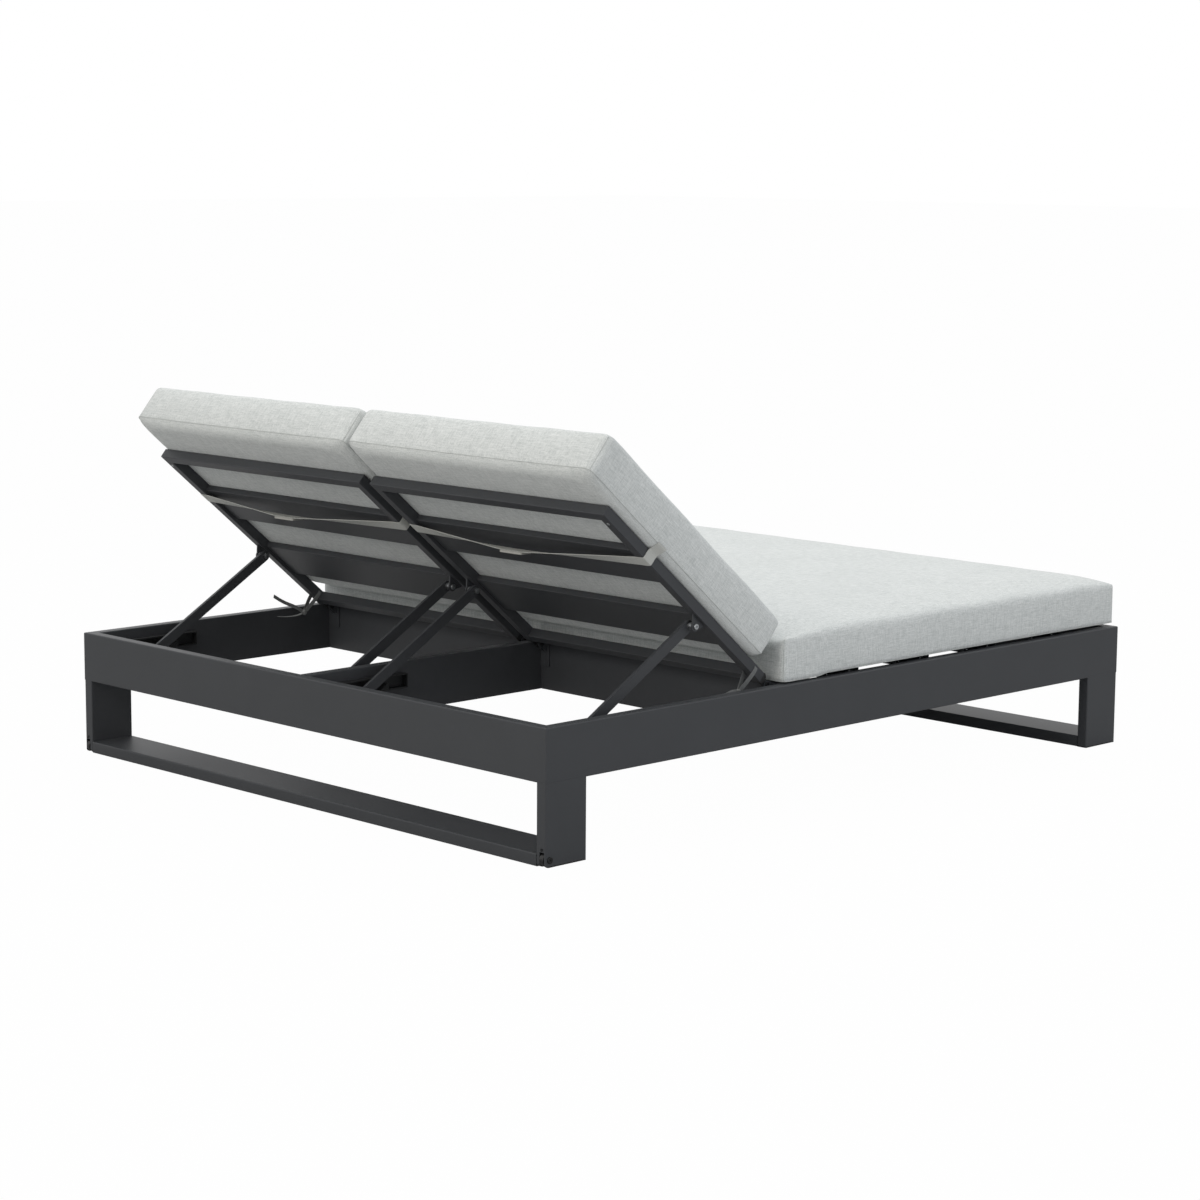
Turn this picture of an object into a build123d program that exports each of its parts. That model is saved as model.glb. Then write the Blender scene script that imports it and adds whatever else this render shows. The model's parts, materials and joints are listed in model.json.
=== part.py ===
from build123d import *
import os
from math import atan2, cos, degrees, radians, sin, sqrt

os.makedirs("parts", exist_ok=True)

# A double chaise lounger. It stands on the floor with its middle over the origin,
# +Z up and +Y to the head end. Lengths are in millimetres and angles in degrees.

# Frame of flat rectangular tube
frame_length = 2000.0
frame_width = 1670.0
frame_height = 300.0
rail_depth = 120.0
rail_width = 28.0
rail_wall = 2.0
rail_corner = 3.0
leg_depth = 120.0
runner_height = 28.0
back_bay_length = 730.0
overrun = 5.0

# Plugs in the open lower ends of the legs
plug_flange = 3.0
plug_fit = 0.2
foot_plug_height = 25.0
housing_height = 46.0
housing_length = 60.0

# Wheels let into the lower corners of the head legs
wheel_radius = 15.5
wheel_width = 12.0
wheel_edge = 1.5
wheel_gap = 1.0
wheel_inset = 11.0
axle_height = 16.0
axle_setback = 13.0
axle_diameter = 6.0
axle_head_diameter = 15.0
axle_head_height = 3.0
axle_head_edge = 1.2
running_clearance = 0.05
leg_corner_round = 10.0
housing_screw_rise = 38.5
housing_screw_head = 6.0
housing_screw_head_height = 1.5
housing_screw_shank = 3.0
housing_screw_length = 12.0
screw_clearance = 0.1
socket_share = 0.6
socket_depth_share = 0.55

# Seat deck: slats on angle ledges
slat_width = 125.0
slat_thickness = 16.0
slat_wall = 1.5
slat_corner = 2.0
slat_pitch = 256.0
slat_setback = 116.0
slat_foot_gap = 150.0
slat_rise = 10.0
slat_end_gap = 1.0
ledge_width = 20.0
ledge_drop = 20.0
ledge_wall = 3.0
slat_screw_spacing = 80.0
slat_screw_shank = 4.0
slat_screw_head = 8.0
slat_screw_head_height = 2.5
slat_screw_reach = 9.0

# Backrests, each a panel of square tube with two slats and a bottom bar
rest_angle = 40.2
steepest_angle = 55.9
back_tube = 25.0
back_tube_wall = 1.5
back_tube_corner = 2.0
back_side_gap = 17.5
back_centre_gap = 4.0
back_reach = 680.0
back_tube_start = 28.5
upper_slat_reach = 404.0
lower_slat_reach = 157.0

# Hinges between the backrests and the hinge rail
hinge_setoff = 22.5
hinge_bolt = 6.0
hinge_bush = 10.0
hinge_tab_radius = 9.0
hinge_tab_thickness = 5.0
hinge_tab_gap = 0.5
hinge_plug_length = 20.0
hinge_ear_radius = 8.0
hinge_ear_thickness = 4.0
hinge_ear_root = 26.0
bracket_width = 30.0
bracket_height = 60.0
bracket_thickness = 4.0
bracket_head_gap = 1.0
hinge_bolt_head = 11.0
hinge_bolt_head_height = 3.3
hinge_nut_flats = 10.0
hinge_nut_height = 5.0
bolt_tail = 1.0
bolt_head_edge = 1.0

# Props that hold each backrest up: two arms and a cross rod
prop_pivot_reach = 276.5
prop_pivot_drop = 29.5
prop_length = 397.0
prop_width = 25.0
prop_thickness = 8.0
prop_offset = 20.0
prop_side_gap = 0.2
lug_thickness = 4.0
lug_radius = 11.0
lug_root = 24.0
pivot_bolt = 8.0
pivot_head = 13.0
pivot_head_height = 4.4
pivot_nut_flats = 13.0
pivot_nut_height = 6.5
spacer_diameter = 16.0
rod_diameter = 10.0
rod_end_gap = 0.5

# Notch racks on the rails of the head bay
rack_drop = 25.0
rack_height = 34.0
rack_depth = 20.0
rack_wall = 3.0
rack_length = 278.0
rack_head_gap = 4.0
notch_pitch = 46.0
notches_above_rest = 2
notches_below_rest = 1
tooth_height = 14.0
tooth_length = 24.0
tooth_tip = 5.0
tooth_clearance = 0.7

# Seat cushion, one wide boxed pad
seat_pad_width = 1650.0
seat_pad_reach = 10.0
seat_pad_overhang = 2.5
seat_pad_seam = 1.0
seat_pad_boxing = 93.0
seat_pad_belly = 0.6
seat_pad_rise = 20.0
seat_pad_swell = 6.0
seat_pad_waist = 5.0
seat_pad_edge = 8.0
seat_pad_head_drop = 7.0
seat_pad_head_round = 22.0
seat_pad_sag = 7.0
seat_pad_room = 1.0

# Back cushions, one boxed pad on each backrest
back_pad_centre_gap = 2.4
back_pad_width = 809.6
back_pad_start = 69.0
back_pad_length = 726.0
back_pad_seam = 16.5
back_pad_boxing = 90.0
back_pad_belly = 22.0
back_pad_rise = 12.0
back_pad_swell = 5.0
back_pad_waist = 4.0
back_pad_edge = 8.0
back_pad_foot_round = 26.0
pad_shoulder = 60.0
pad_corner = 12.0
pad_clearance = 0.3
pad_station_shares = (0.0, 0.1, 0.5, 0.9, 1.0)
pad_fullness_shares = (0.1, 0.75, 1.0, 0.75, 0.1)

# Webbing strap that holds a back cushion to its panel, with its slider
strap_width = 30.0
strap_thickness = 1.2
strap_reach = 491.0
strap_clearance = 0.4
strap_sewn_length = 6.0
strap_sag = 16.0
slider_length = 72.0
slider_width = 34.0
slider_thickness = 5.0
slider_corner = 4.0
slider_slot = 6.0
slider_wall = 2.0
slider_left_offset = 372.0
slider_right_offset = 448.0

# Tapes tied round the lower ends of the outer side tubes
tape_width = 12.0
tape_thickness = 1.2
tape_bar_gap = 1.0
tape_clearance = 0.4
knot_size = 16.0
knot_round = 5.0
knot_drop = 62.0
knot_neck = 4.0
upper_tail_length = 114.0
upper_tail_angle = -12.0
lower_tail_length = 87.0
lower_tail_angle = -42.0

# Places worked out from the sizes above
half_width = frame_width / 2
half_length = frame_length / 2
rail_bottom = frame_height - rail_depth
side_face = half_width - rail_width
end_face = half_length - rail_width
centre_face = rail_width / 2
hinge_face = end_face - back_bay_length
hinge_back_face = hinge_face - rail_width
deck_top = frame_height + slat_rise
ledge_top = deck_top - slat_thickness
hinge_y = hinge_face + hinge_setoff
hinge_z = deck_top - back_tube / 2
back_inner = centre_face + back_centre_gap
back_outer = side_face - back_side_gap
inner_tube_x = back_inner + back_tube / 2
outer_tube_x = back_outer - back_tube / 2
panel_face = back_tube / 2
rack_top = frame_height - rack_drop
rack_bottom = rack_top - rack_height
rack_head = end_face - rack_head_gap
rack_foot = rack_head - rack_length
axle_y = half_length - axle_setback
wheel_x = half_width - wheel_inset
slope = radians(rest_angle)
pivot_y = hinge_y + prop_pivot_reach * cos(slope) + prop_pivot_drop * sin(slope)
pivot_z = hinge_z + prop_pivot_reach * sin(slope) - prop_pivot_drop * cos(slope)
rod_z = rack_bottom + rack_wall + rod_diameter / 2
rod_y = pivot_y + sqrt(prop_length**2 - (pivot_z - rod_z) ** 2)
prop_angle = degrees(atan2(rod_z - pivot_z, rod_y - pivot_y))
tape_reach = back_tube_start + back_tube + tape_bar_gap + tape_width / 2

AXES = (Axis.X, Axis.Y, Axis.Z)


def block(x_span, y_span, z_span):
    """Box between two places on each axis."""
    spans = (x_span, y_span, z_span)
    middle = [(low + high) / 2 for low, high in spans]
    size = [high - low for low, high in spans]
    return Pos(*middle) * Box(*size)


def grown(span, margin):
    """Span made longer by a margin at both ends."""
    return (min(span) - margin, max(span) + margin)


def about(middle, size):
    """Span of a given size about its middle."""
    return (middle - size / 2, middle + size / 2)


def ordered(first, second):
    """Span between two places given in any order."""
    return (min(first, second), max(first, second))


def tube(x_span, y_span, z_span, along, wall, corner):
    """Rectangular tube, open at both ends, with rounded long edges."""
    spans = (x_span, y_span, z_span)
    outer = fillet(block(*spans).edges().filter_by(along), corner)
    margins = [overrun if axis == along else -wall for axis in AXES]
    bore = block(*[grown(span, margin) for span, margin in zip(spans, margins)])
    return outer - bore


def cross_pin(diameter, x_span, y=0.0, z=0.0):
    """Cylinder that lies across the lounger, along X."""
    middle = (x_span[0] + x_span[1]) / 2
    length = x_span[1] - x_span[0]
    return Pos(middle, y, z) * Rot(0, 90, 0) * Cylinder(diameter / 2, length)


def cross_nut(flats, x_span, y=0.0, z=0.0):
    """Hexagon nut blank along X."""
    middle = (x_span[0] + x_span[1]) / 2
    outline = RegularPolygon(flats / 2, 6, major_radius=False)
    nut = extrude(outline, (x_span[1] - x_span[0]) / 2, both=True)
    return Pos(middle, y, z) * Rot(0, 90, 0) * nut


def prism(points, z_span):
    """Upright prism on an outline in the XY plane."""
    face = make_face(Polyline(*points, close=True))
    return Pos(0, 0, z_span[0]) * extrude(face, z_span[1] - z_span[0], dir=(0, 0, 1))


def side_prism(points, x_span):
    """Prism across the lounger on an outline of (y, z) points."""
    face = make_face(Polyline(*[(x_span[0], y, z) for y, z in points], close=True))
    return extrude(face, x_span[1] - x_span[0], dir=(1, 0, 0))


def mitre_wedge(outer, inner, runs_along, z_span):
    """Wedge past the corner line of a mitred joint, on the side of the tube named."""
    step_x = overrun if outer[0] > inner[0] else -overrun
    step_y = overrun if outer[1] > inner[1] else -overrun
    far = (outer[0] + step_x, outer[1] + step_y)
    near = (inner[0] - step_x, inner[1] - step_y)
    third = (near[0], far[1]) if runs_along == Axis.Y else (far[0], near[1])
    return prism([near, far, third], grown(z_span, overrun))


def mirrored(shape):
    """The same piece on the left, at -X."""
    return mirror(shape, about=Plane.YZ)


def group(shapes):
    """Several separate solids of one node."""
    solids = [solid for shape in shapes for solid in shape.solids()]
    return Compound(children=solids)


def save(name, shape):
    export_step(shape, f"parts/{name}.step")


def save_pair(name, shape):
    """The right-hand piece and its mirror image."""
    save(f"{name}_right", shape)
    save(f"{name}_left", mirrored(shape))


def frame_rail(x_span, y_span, along):
    return tube(x_span, y_span, (rail_bottom, frame_height), along, rail_wall, rail_corner)


def side_rail():
    """Long rail of the right side, mitred at both ends."""
    rail = frame_rail((side_face, half_width), (-half_length, half_length), Axis.Y)
    for end in (1, -1):
        outer = (half_width, end * half_length)
        inner = (side_face, end * end_face)
        rail -= mitre_wedge(outer, inner, Axis.Y, (rail_bottom, frame_height))
    return rail


def end_rail(end):
    """Cross rail at the head (end 1) or the foot (end -1), mitred at both ends."""
    y_span = ordered(end * end_face, end * half_length)
    rail = frame_rail((-half_width, half_width), y_span, Axis.X)
    for side in (1, -1):
        outer = (side * half_width, end * half_length)
        inner = (side * side_face, end * end_face)
        rail -= mitre_wedge(outer, inner, Axis.X, (rail_bottom, frame_height))
    return rail


def wheel_slot(extra=0.0):
    """Space cut for the wheel, open to the head and to the floor."""
    back = axle_y - wheel_radius - wheel_edge - extra
    top = axle_height + wheel_radius + wheel_edge + extra
    x_span = about(wheel_x, wheel_width + 2 * wheel_gap)
    return block(x_span, (back, half_length + overrun), (-overrun, top))


def corner_cutter():
    """Takes the lower head corner off a leg, so that the wheel meets the floor first."""
    x_span = grown((side_face, half_width), overrun)
    middle = half_length - leg_corner_round
    corner = block(x_span, (middle, half_length + overrun), (-overrun, leg_corner_round))
    return corner - cross_pin(2 * leg_corner_round, x_span, middle, leg_corner_round)


def dressed_weld(end):
    """Weld, ground flush, that fills the rounded lower edges of the rails over a leg."""
    y_span = ordered(end * (half_length - leg_depth), end * half_length)
    weld = block((side_face, half_width), y_span, (rail_bottom, rail_bottom + rail_wall))
    weld = fillet(weld.edges().filter_by(Axis.Z), rail_corner)
    return weld - side_rail() - end_rail(end)


def leg(end):
    """Upright of the right side, standing on its plug, under the side rail."""
    y_span = ordered(end * (half_length - leg_depth), end * half_length)
    z_span = (plug_flange, rail_bottom)
    post = tube((side_face, half_width), y_span, z_span, Axis.Z, rail_wall, rail_corner)
    post += dressed_weld(end)
    if end > 0:
        post -= wheel_slot()
        post -= corner_cutter()
        hole = axle_diameter + 2 * screw_clearance
        post -= cross_pin(hole, (wheel_x, half_width + overrun), axle_y, axle_height)
        post -= housing_screw_hole()
    return post


def runner(end):
    """Flat tube on the floor between the two legs of one end."""
    y_span = ordered(end * (half_length - leg_depth), end * half_length)
    x_span = (-side_face, side_face)
    return tube(x_span, y_span, (0, runner_height), Axis.X, rail_wall, rail_corner)


def plug_flange_plate(end):
    y_span = ordered(end * (half_length - leg_depth), end * half_length)
    plate = block((side_face, half_width), y_span, (0, plug_flange))
    return fillet(plate.edges().filter_by(Axis.Z), rail_corner)


def foot_plug():
    """Plastic plug in the lower end of a foot leg."""
    inset = rail_wall + plug_fit
    x_span = grown((side_face, half_width), -inset)
    y_span = grown((-half_length, leg_depth - half_length), -inset)
    return plug_flange_plate(-1) + block(x_span, y_span, (0, foot_plug_height))


def wheel_housing():
    """Plastic plug in a head leg that carries the wheel."""
    inset = rail_wall + plug_fit
    x_span = grown((side_face, half_width), -inset)
    head = half_length - inset
    housing = plug_flange_plate(1)
    housing += block(x_span, (head - housing_length, head), (0, housing_height))
    housing -= wheel_slot()
    housing -= corner_cutter()
    hole = axle_diameter + 2 * screw_clearance
    housing -= cross_pin(hole, grown((side_face, half_width), overrun), axle_y, axle_height)
    return housing - housing_screw_hole()


def wheel():
    """Small solid wheel on its axle."""
    disc = cross_pin(2 * wheel_radius, about(wheel_x, wheel_width), axle_y, axle_height)
    disc = fillet(disc.edges(), wheel_edge)
    bore = axle_diameter + 2 * running_clearance
    return disc - cross_pin(bore, about(wheel_x, 2 * wheel_width), axle_y, axle_height)


def domed_bolt(shank, x_head, x_end, head, head_height, edge, y, z):
    """Socket bolt along X; the head lies on the far side of x_head from x_end."""
    side = 1 if x_head > x_end else -1
    top = x_head + side * head_height
    cap = cross_pin(head, ordered(x_head, top), y, z)
    rim = cap.edges().sort_by(Axis.X)[-1 if side > 0 else 0]
    cap = fillet(rim, edge)
    socket = ordered(top, top - side * head_height * socket_depth_share)
    cap -= cross_nut(shank * socket_share, socket, y, z)
    return cap + cross_pin(shank, ordered(x_head, x_end), y, z)


def wheel_axle():
    """Axle bolt from the outer face of the leg to its inner wall."""
    sizes = (axle_head_diameter, axle_head_height, axle_head_edge)
    end = side_face + rail_wall
    return domed_bolt(axle_diameter, half_width, end, *sizes, axle_y, axle_height)


def housing_screw_hole():
    hole = housing_screw_shank / 2 + screw_clearance
    length = housing_screw_length + overrun
    pin = Rot(90, 0, 0) * Cylinder(hole, 2 * length)
    return Pos(wheel_x, half_length, housing_screw_rise) * pin


def housing_screw():
    """Screw through the head face of the leg into the wheel housing."""
    head = Rot(90, 0, 0) * Cylinder(housing_screw_head / 2, housing_screw_head_height)
    shank = Rot(90, 0, 0) * Cylinder(housing_screw_shank / 2, housing_screw_length)
    screw = Pos(0, housing_screw_head_height / 2, 0) * head
    screw += Pos(0, -housing_screw_length / 2, 0) * shank
    return Pos(wheel_x, half_length, housing_screw_rise) * screw


def slat_heads():
    """The head edge of each seat slat, from the hinge rail to the foot."""
    first = hinge_back_face - slat_setback
    last = slat_foot_gap + slat_width - end_face
    count = 1 + int((first - last) / slat_pitch)
    return [first - index * slat_pitch for index in range(count)]


def screw_places():
    """The (x, y) of each seat slat screw on the right side."""
    inner = centre_face + ledge_width / 2
    outer = side_face - ledge_width / 2
    rows = []
    for head in slat_heads():
        middle = head - slat_width / 2
        rows += [middle - slat_screw_spacing / 2, middle + slat_screw_spacing / 2]
    return [(x, y) for x in (inner, outer) for y in rows]


def screw_holes():
    """Holes for the seat slat screws through the ledges and the slats' under walls."""
    hole = slat_screw_shank / 2 + screw_clearance
    height = ledge_wall + slat_wall + overrun
    middle = ledge_top - ledge_wall + slat_wall
    return [Pos(x, y, middle) * Cylinder(hole, height) for x, y in screw_places()]


def ledge(face, inward):
    """Angle along a rail that carries the ends of the seat slats."""
    y_span = (-end_face, hinge_back_face)
    foot = face + inward * ledge_width
    upright = face + inward * ledge_wall
    shelf = block(ordered(face, foot), y_span, (ledge_top - ledge_wall, ledge_top))
    wall = block(ordered(face, upright), y_span, (ledge_top - ledge_drop, ledge_top))
    angle = shelf + wall
    for hole in screw_holes():
        angle -= hole
    return angle


def seat_slat(head, holes):
    """Hollow slat from the centre rail to the right side rail."""
    x_span = (centre_face + slat_end_gap, side_face - slat_end_gap)
    y_span = (head - slat_width, head)
    slat = tube(x_span, y_span, (ledge_top, deck_top), Axis.X, slat_wall, slat_corner)
    for hole in holes:
        slat -= hole
    return slat


def slat_screw(x, y):
    """Screw from below through the ledge into the slat."""
    under = ledge_top - ledge_wall
    head = Cylinder(slat_screw_head / 2, slat_screw_head_height)
    head = fillet(head.edges().sort_by(Axis.Z)[0], slat_screw_head_height / 2)
    screw = Pos(0, 0, -slat_screw_head_height / 2) * head
    screw += Pos(0, 0, slat_screw_reach / 2) * Cylinder(slat_screw_shank / 2, slat_screw_reach)
    return Pos(x, y, under) * screw


def notch_rack(face, inward):
    """Channel on a rail of the head bay, with a tooth behind each place of the prop rod."""
    web = face + inward * rack_wall
    mouth = face + inward * rack_depth
    outer = block(ordered(face, mouth), (rack_foot, rack_head), (rack_bottom, rack_top))
    hollow_y = (rack_foot + rack_wall, rack_head - rack_wall)
    hollow_z = (rack_bottom + rack_wall, rack_top - rack_wall)
    rack = outer - block(ordered(web, mouth + inward * overrun), hollow_y, hollow_z)
    floor = rack_bottom + rack_wall
    for step in range(-notches_above_rest, notches_below_rest + 1):
        stop = rod_y + step * notch_pitch + rod_diameter / 2 + tooth_clearance
        crest = stop + tooth_tip
        outline = [
            (stop, floor - rack_wall),
            (stop, floor + tooth_height),
            (crest, floor + tooth_height),
            (stop + tooth_length, floor),
            (stop + tooth_length, floor - rack_wall),
        ]
        rack += side_prism(outline, ordered(face, mouth))
    return rack


def hinge_bracket(x):
    """Plate on the hinge rail with two ears for the hinge bolt."""
    plate_y = (hinge_face, hinge_face + bracket_thickness)
    plate_top = frame_height - bracket_head_gap
    plate_z = (plate_top - bracket_height, plate_top)
    bracket = block(about(x, bracket_width), plate_y, plate_z)
    bracket = fillet(bracket.edges().filter_by(Axis.Y), rail_corner)
    root_z = hinge_z - hinge_ear_root
    outline = [
        (plate_y[0], root_z),
        (plate_y[0], plate_top),
        (hinge_y, hinge_z + hinge_ear_radius),
        (hinge_y, hinge_z - hinge_ear_radius),
    ]
    inner = hinge_tab_thickness / 2 + hinge_tab_gap
    for side in (1, -1):
        x_span = ordered(x + side * inner, x + side * (inner + hinge_ear_thickness))
        bracket += side_prism(outline, x_span)
        bracket += cross_pin(2 * hinge_ear_radius, x_span, hinge_y, hinge_z)
    hole = hinge_bolt + 2 * screw_clearance
    return bracket - cross_pin(hole, about(x, bracket_width), hinge_y, hinge_z)


def turning_bush(x):
    """Bush between the ears, on which the tab turns."""
    x_span = about(x, hinge_tab_thickness + hinge_tab_gap)
    sleeve = cross_pin(hinge_bush, x_span, hinge_y, hinge_z)
    bore = hinge_bolt + 2 * screw_clearance
    return sleeve - cross_pin(bore, about(x, bracket_width), hinge_y, hinge_z)


def hinge_fastener(x, outward):
    """Hinge bolt with its head outward and its nut on the other side, as two solids."""
    seat = hinge_tab_thickness / 2 + hinge_tab_gap + hinge_ear_thickness
    end = seat + hinge_nut_height + bolt_tail
    sizes = (hinge_bolt_head, hinge_bolt_head_height, bolt_head_edge)
    x_head = x + outward * seat
    bolt = domed_bolt(hinge_bolt, x_head, x - outward * end, *sizes, hinge_y, hinge_z)
    nut_span = ordered(x - outward * seat, x - outward * (seat + hinge_nut_height))
    nut = cross_nut(hinge_nut_flats, nut_span, hinge_y, hinge_z)
    nut -= cross_pin(hinge_bolt + 2 * running_clearance, nut_span, hinge_y, hinge_z)
    return [bolt, nut]


def on_backrest(shape):
    """A piece drawn on the flat panel, with the hinge bolt at the origin, set at rest."""
    return Pos(0, hinge_y, hinge_z) * Rot(rest_angle, 0, 0) * shape


def panel_z():
    return (-back_tube / 2, back_tube / 2)


def lug(x):
    """Plate under a side tube for the pivot of a prop arm."""
    x_span = about(x, lug_thickness)
    root = -back_tube / 2 + back_tube_wall
    outline = [
        (prop_pivot_reach - lug_root, root),
        (prop_pivot_reach + lug_root, root),
        (prop_pivot_reach + lug_root, -back_tube / 2),
        (prop_pivot_reach + lug_radius, -prop_pivot_drop),
        (prop_pivot_reach - lug_radius, -prop_pivot_drop),
        (prop_pivot_reach - lug_root, -back_tube / 2),
    ]
    plate = side_prism(outline, x_span)
    plate += cross_pin(2 * lug_radius, x_span, prop_pivot_reach, -prop_pivot_drop)
    hole = pivot_bolt + 2 * screw_clearance
    return plate - cross_pin(hole, about(x, back_tube), prop_pivot_reach, -prop_pivot_drop)


def side_tube(x, outer_x):
    """Side tube of the right backrest with its welded prop lug."""
    y_span = (back_tube_start, back_reach)
    side = tube(about(x, back_tube), y_span, panel_z(), Axis.Y, back_tube_wall, back_tube_corner)
    inner_x = 2 * x - outer_x
    outer = (outer_x, back_reach)
    inner = (inner_x, back_reach - back_tube)
    side -= mitre_wedge(outer, inner, Axis.Y, panel_z())
    return side + lug(x)


def top_tube():
    """Top tube of the right backrest, mitred to the side tubes."""
    x_span = (back_inner, back_outer)
    y_span = (back_reach - back_tube, back_reach)
    top = tube(x_span, y_span, panel_z(), Axis.X, back_tube_wall, back_tube_corner)
    for outer_x, step in ((back_outer, -back_tube), (back_inner, back_tube)):
        outer = (outer_x, back_reach)
        inner = (outer_x + step, back_reach - back_tube)
        top -= mitre_wedge(outer, inner, Axis.X, panel_z())
    return top


def panel_bar(reach, width, thickness):
    """Slat or bar between the side tubes, flush with the cushion side."""
    x_span = (back_inner + back_tube, back_outer - back_tube)
    z_span = (panel_face - thickness, panel_face)
    return tube(x_span, (reach, reach + width), z_span, Axis.X, slat_wall, slat_corner)


def hinge_end(x):
    """Rounded end piece plugged into a side tube, with the tab that turns on the bush."""
    inside = back_tube - 2 * (back_tube_wall + plug_fit)
    plug_y = (back_tube_start, back_tube_start + hinge_plug_length)
    piece = block(about(x, inside), plug_y, about(0, inside))
    round_end = cross_pin(back_tube, about(x, back_tube), back_tube_start)
    half = block(about(x, back_tube), (0, back_tube_start), panel_z())
    piece += round_end & half
    tab_x = about(x, hinge_tab_thickness)
    piece += block(tab_x, (0, back_tube_start), about(0, 2 * hinge_tab_radius))
    piece += cross_pin(2 * hinge_tab_radius, tab_x)
    return piece - cross_pin(hinge_bush + 2 * running_clearance, about(x, bracket_width))


def prop_side(x, inward):
    """Spans along X of the spacer and the arm at one pivot."""
    lug_face = x + inward * lug_thickness / 2
    arm_near = x + inward * (prop_offset - prop_thickness / 2)
    arm_far = x + inward * (prop_offset + prop_thickness / 2)
    spacer = ordered(lug_face, arm_near - inward * prop_side_gap)
    return spacer, ordered(arm_near, arm_far)


def prop_spacer(x, inward):
    """Collar on the pivot bolt between the lug and the arm."""
    spacer, arm = prop_side(x, inward)
    place = (prop_pivot_reach, -prop_pivot_drop)
    collar = cross_pin(spacer_diameter, spacer, *place)
    return collar - cross_pin(pivot_bolt + 2 * screw_clearance, grown(spacer, overrun), *place)


def pivot_fastener(x, inward):
    """Pivot bolt with its head on the lug and its nut past the arm, as two solids."""
    place = (prop_pivot_reach, -prop_pivot_drop)
    x_head = x - inward * lug_thickness / 2
    nut_near = x + inward * (prop_offset + prop_thickness / 2 + prop_side_gap)
    nut_far = nut_near + inward * pivot_nut_height
    sizes = (pivot_head, pivot_head_height, bolt_head_edge)
    bolt = domed_bolt(pivot_bolt, x_head, nut_far + inward * bolt_tail, *sizes, *place)
    nut = cross_nut(pivot_nut_flats, ordered(nut_near, nut_far), *place)
    nut -= cross_pin(pivot_bolt + 2 * running_clearance, ordered(nut_near, nut_far), *place)
    return [bolt, nut]


def on_prop(shape):
    """A piece drawn along +Y from the prop's pivot, set at rest."""
    return Pos(0, pivot_y, pivot_z) * Rot(prop_angle, 0, 0) * shape


def prop_arm(x, inward):
    """Flat bar from the pivot bolt to the cross rod."""
    spacer, x_span = prop_side(x, inward)
    arm = block(x_span, (0, prop_length), about(0, prop_width))
    for y in (0, prop_length):
        arm += cross_pin(prop_width, x_span, y)
    arm -= cross_pin(pivot_bolt + 2 * running_clearance, grown(x_span, overrun))
    return arm - cross_pin(rod_diameter + 2 * running_clearance, grown(x_span, overrun), prop_length)


def prop_rod():
    """Cross rod that lies on the floor of both racks of one bay."""
    x_span = (centre_face + rack_depth + rod_end_gap, side_face - rack_depth - rod_end_gap)
    return cross_pin(rod_diameter, x_span, prop_length)


def pad_section(x_span, y, z_span, rise, swell, belly, shoulder):
    """Cross-section of a boxed cushion: straight boxing, shouldered top and under side."""
    low_x, high_x = x_span
    low_z, high_z = z_span
    left, right = low_x + shoulder, high_x - shoulder
    middle = (low_x + high_x) / 2
    crest = high_z + rise
    under = low_z - belly
    edges = [
        Line((low_x, y, low_z), (low_x, y, high_z)),
        TangentArc((left, y, crest), (low_x, y, high_z), tangent=(-1, 0, 0)),
        ThreePointArc((left, y, crest), (middle, y, crest + swell), (right, y, crest)),
        TangentArc((right, y, crest), (high_x, y, high_z), tangent=(1, 0, 0)),
        Line((high_x, y, high_z), (high_x, y, low_z)),
        TangentArc((right, y, under), (high_x, y, low_z), tangent=(1, 0, 0)),
        Line((right, y, under), (left, y, under)),
        TangentArc((left, y, under), (low_x, y, low_z), tangent=(-1, 0, 0)),
    ]
    return make_face(Wire(edges))


def stands_up(line, z_span):
    """Whether an edge of a pad runs straight up its boxing."""
    size = line.bounding_box().size
    boxing = z_span[1] - z_span[0]
    return size.Z > boxing / 2 and max(size.X, size.Y) < boxing / 8


def pad(x_span, y_span, z_span, rise, swell, belly, waist, edge, drop):
    """Boxed cushion with a crown, drawn-in sides, rounded corners and a drop to its head end."""
    length = y_span[1] - y_span[0]
    sections = []
    for station, fullness in zip(pad_station_shares, pad_fullness_shares):
        y = y_span[0] + station * length
        drawn_in = waist * (fullness - pad_fullness_shares[0])
        heights = (rise * fullness, swell * fullness, belly * fullness)
        span = grown(x_span, -drawn_in)
        lowered = drop if station == pad_station_shares[-1] else 0.0
        section_z = (z_span[0], z_span[1] - lowered)
        sections.append(pad_section(span, y, section_z, *heights, pad_shoulder))
    body = loft(sections)
    upright = [line for line in body.edges() if stands_up(line, z_span)]
    body = fillet(upright, pad_corner)
    reach = drop + edge / 2
    rim = [line for line in body.edges() if abs(line.center().Z - z_span[1]) < reach]
    return fillet(rim, edge)


def edge_rounding(x_span, corner, radius, y_side, z_side):
    """What a rounding takes off a sharp edge along X at the corner (y, z)."""
    y_middle = corner[0] - y_side * radius
    z_middle = corner[1] - z_side * radius
    y_span = ordered(y_middle, corner[0] + y_side * overrun)
    z_span = ordered(z_middle, corner[1] + z_side * overrun)
    return block(x_span, y_span, z_span) - cross_pin(2 * radius, x_span, y_middle, z_middle)


def seat_sag(y_end, low):
    """Under side of the seat cushion where it hangs past the last slat."""
    slat_head = slat_heads()[0]
    inset = seat_pad_waist + pad_corner
    outline = [
        (slat_head + seat_pad_sag, low + seat_pad_sag),
        (slat_head + seat_pad_sag, low),
        (slat_head + 4 * seat_pad_sag, low - seat_pad_sag),
        (y_end - pad_corner, low - seat_pad_sag),
        (y_end - pad_corner, low + seat_pad_sag),
    ]
    return side_prism(outline, grown(about(0, seat_pad_width), -inset))


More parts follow.
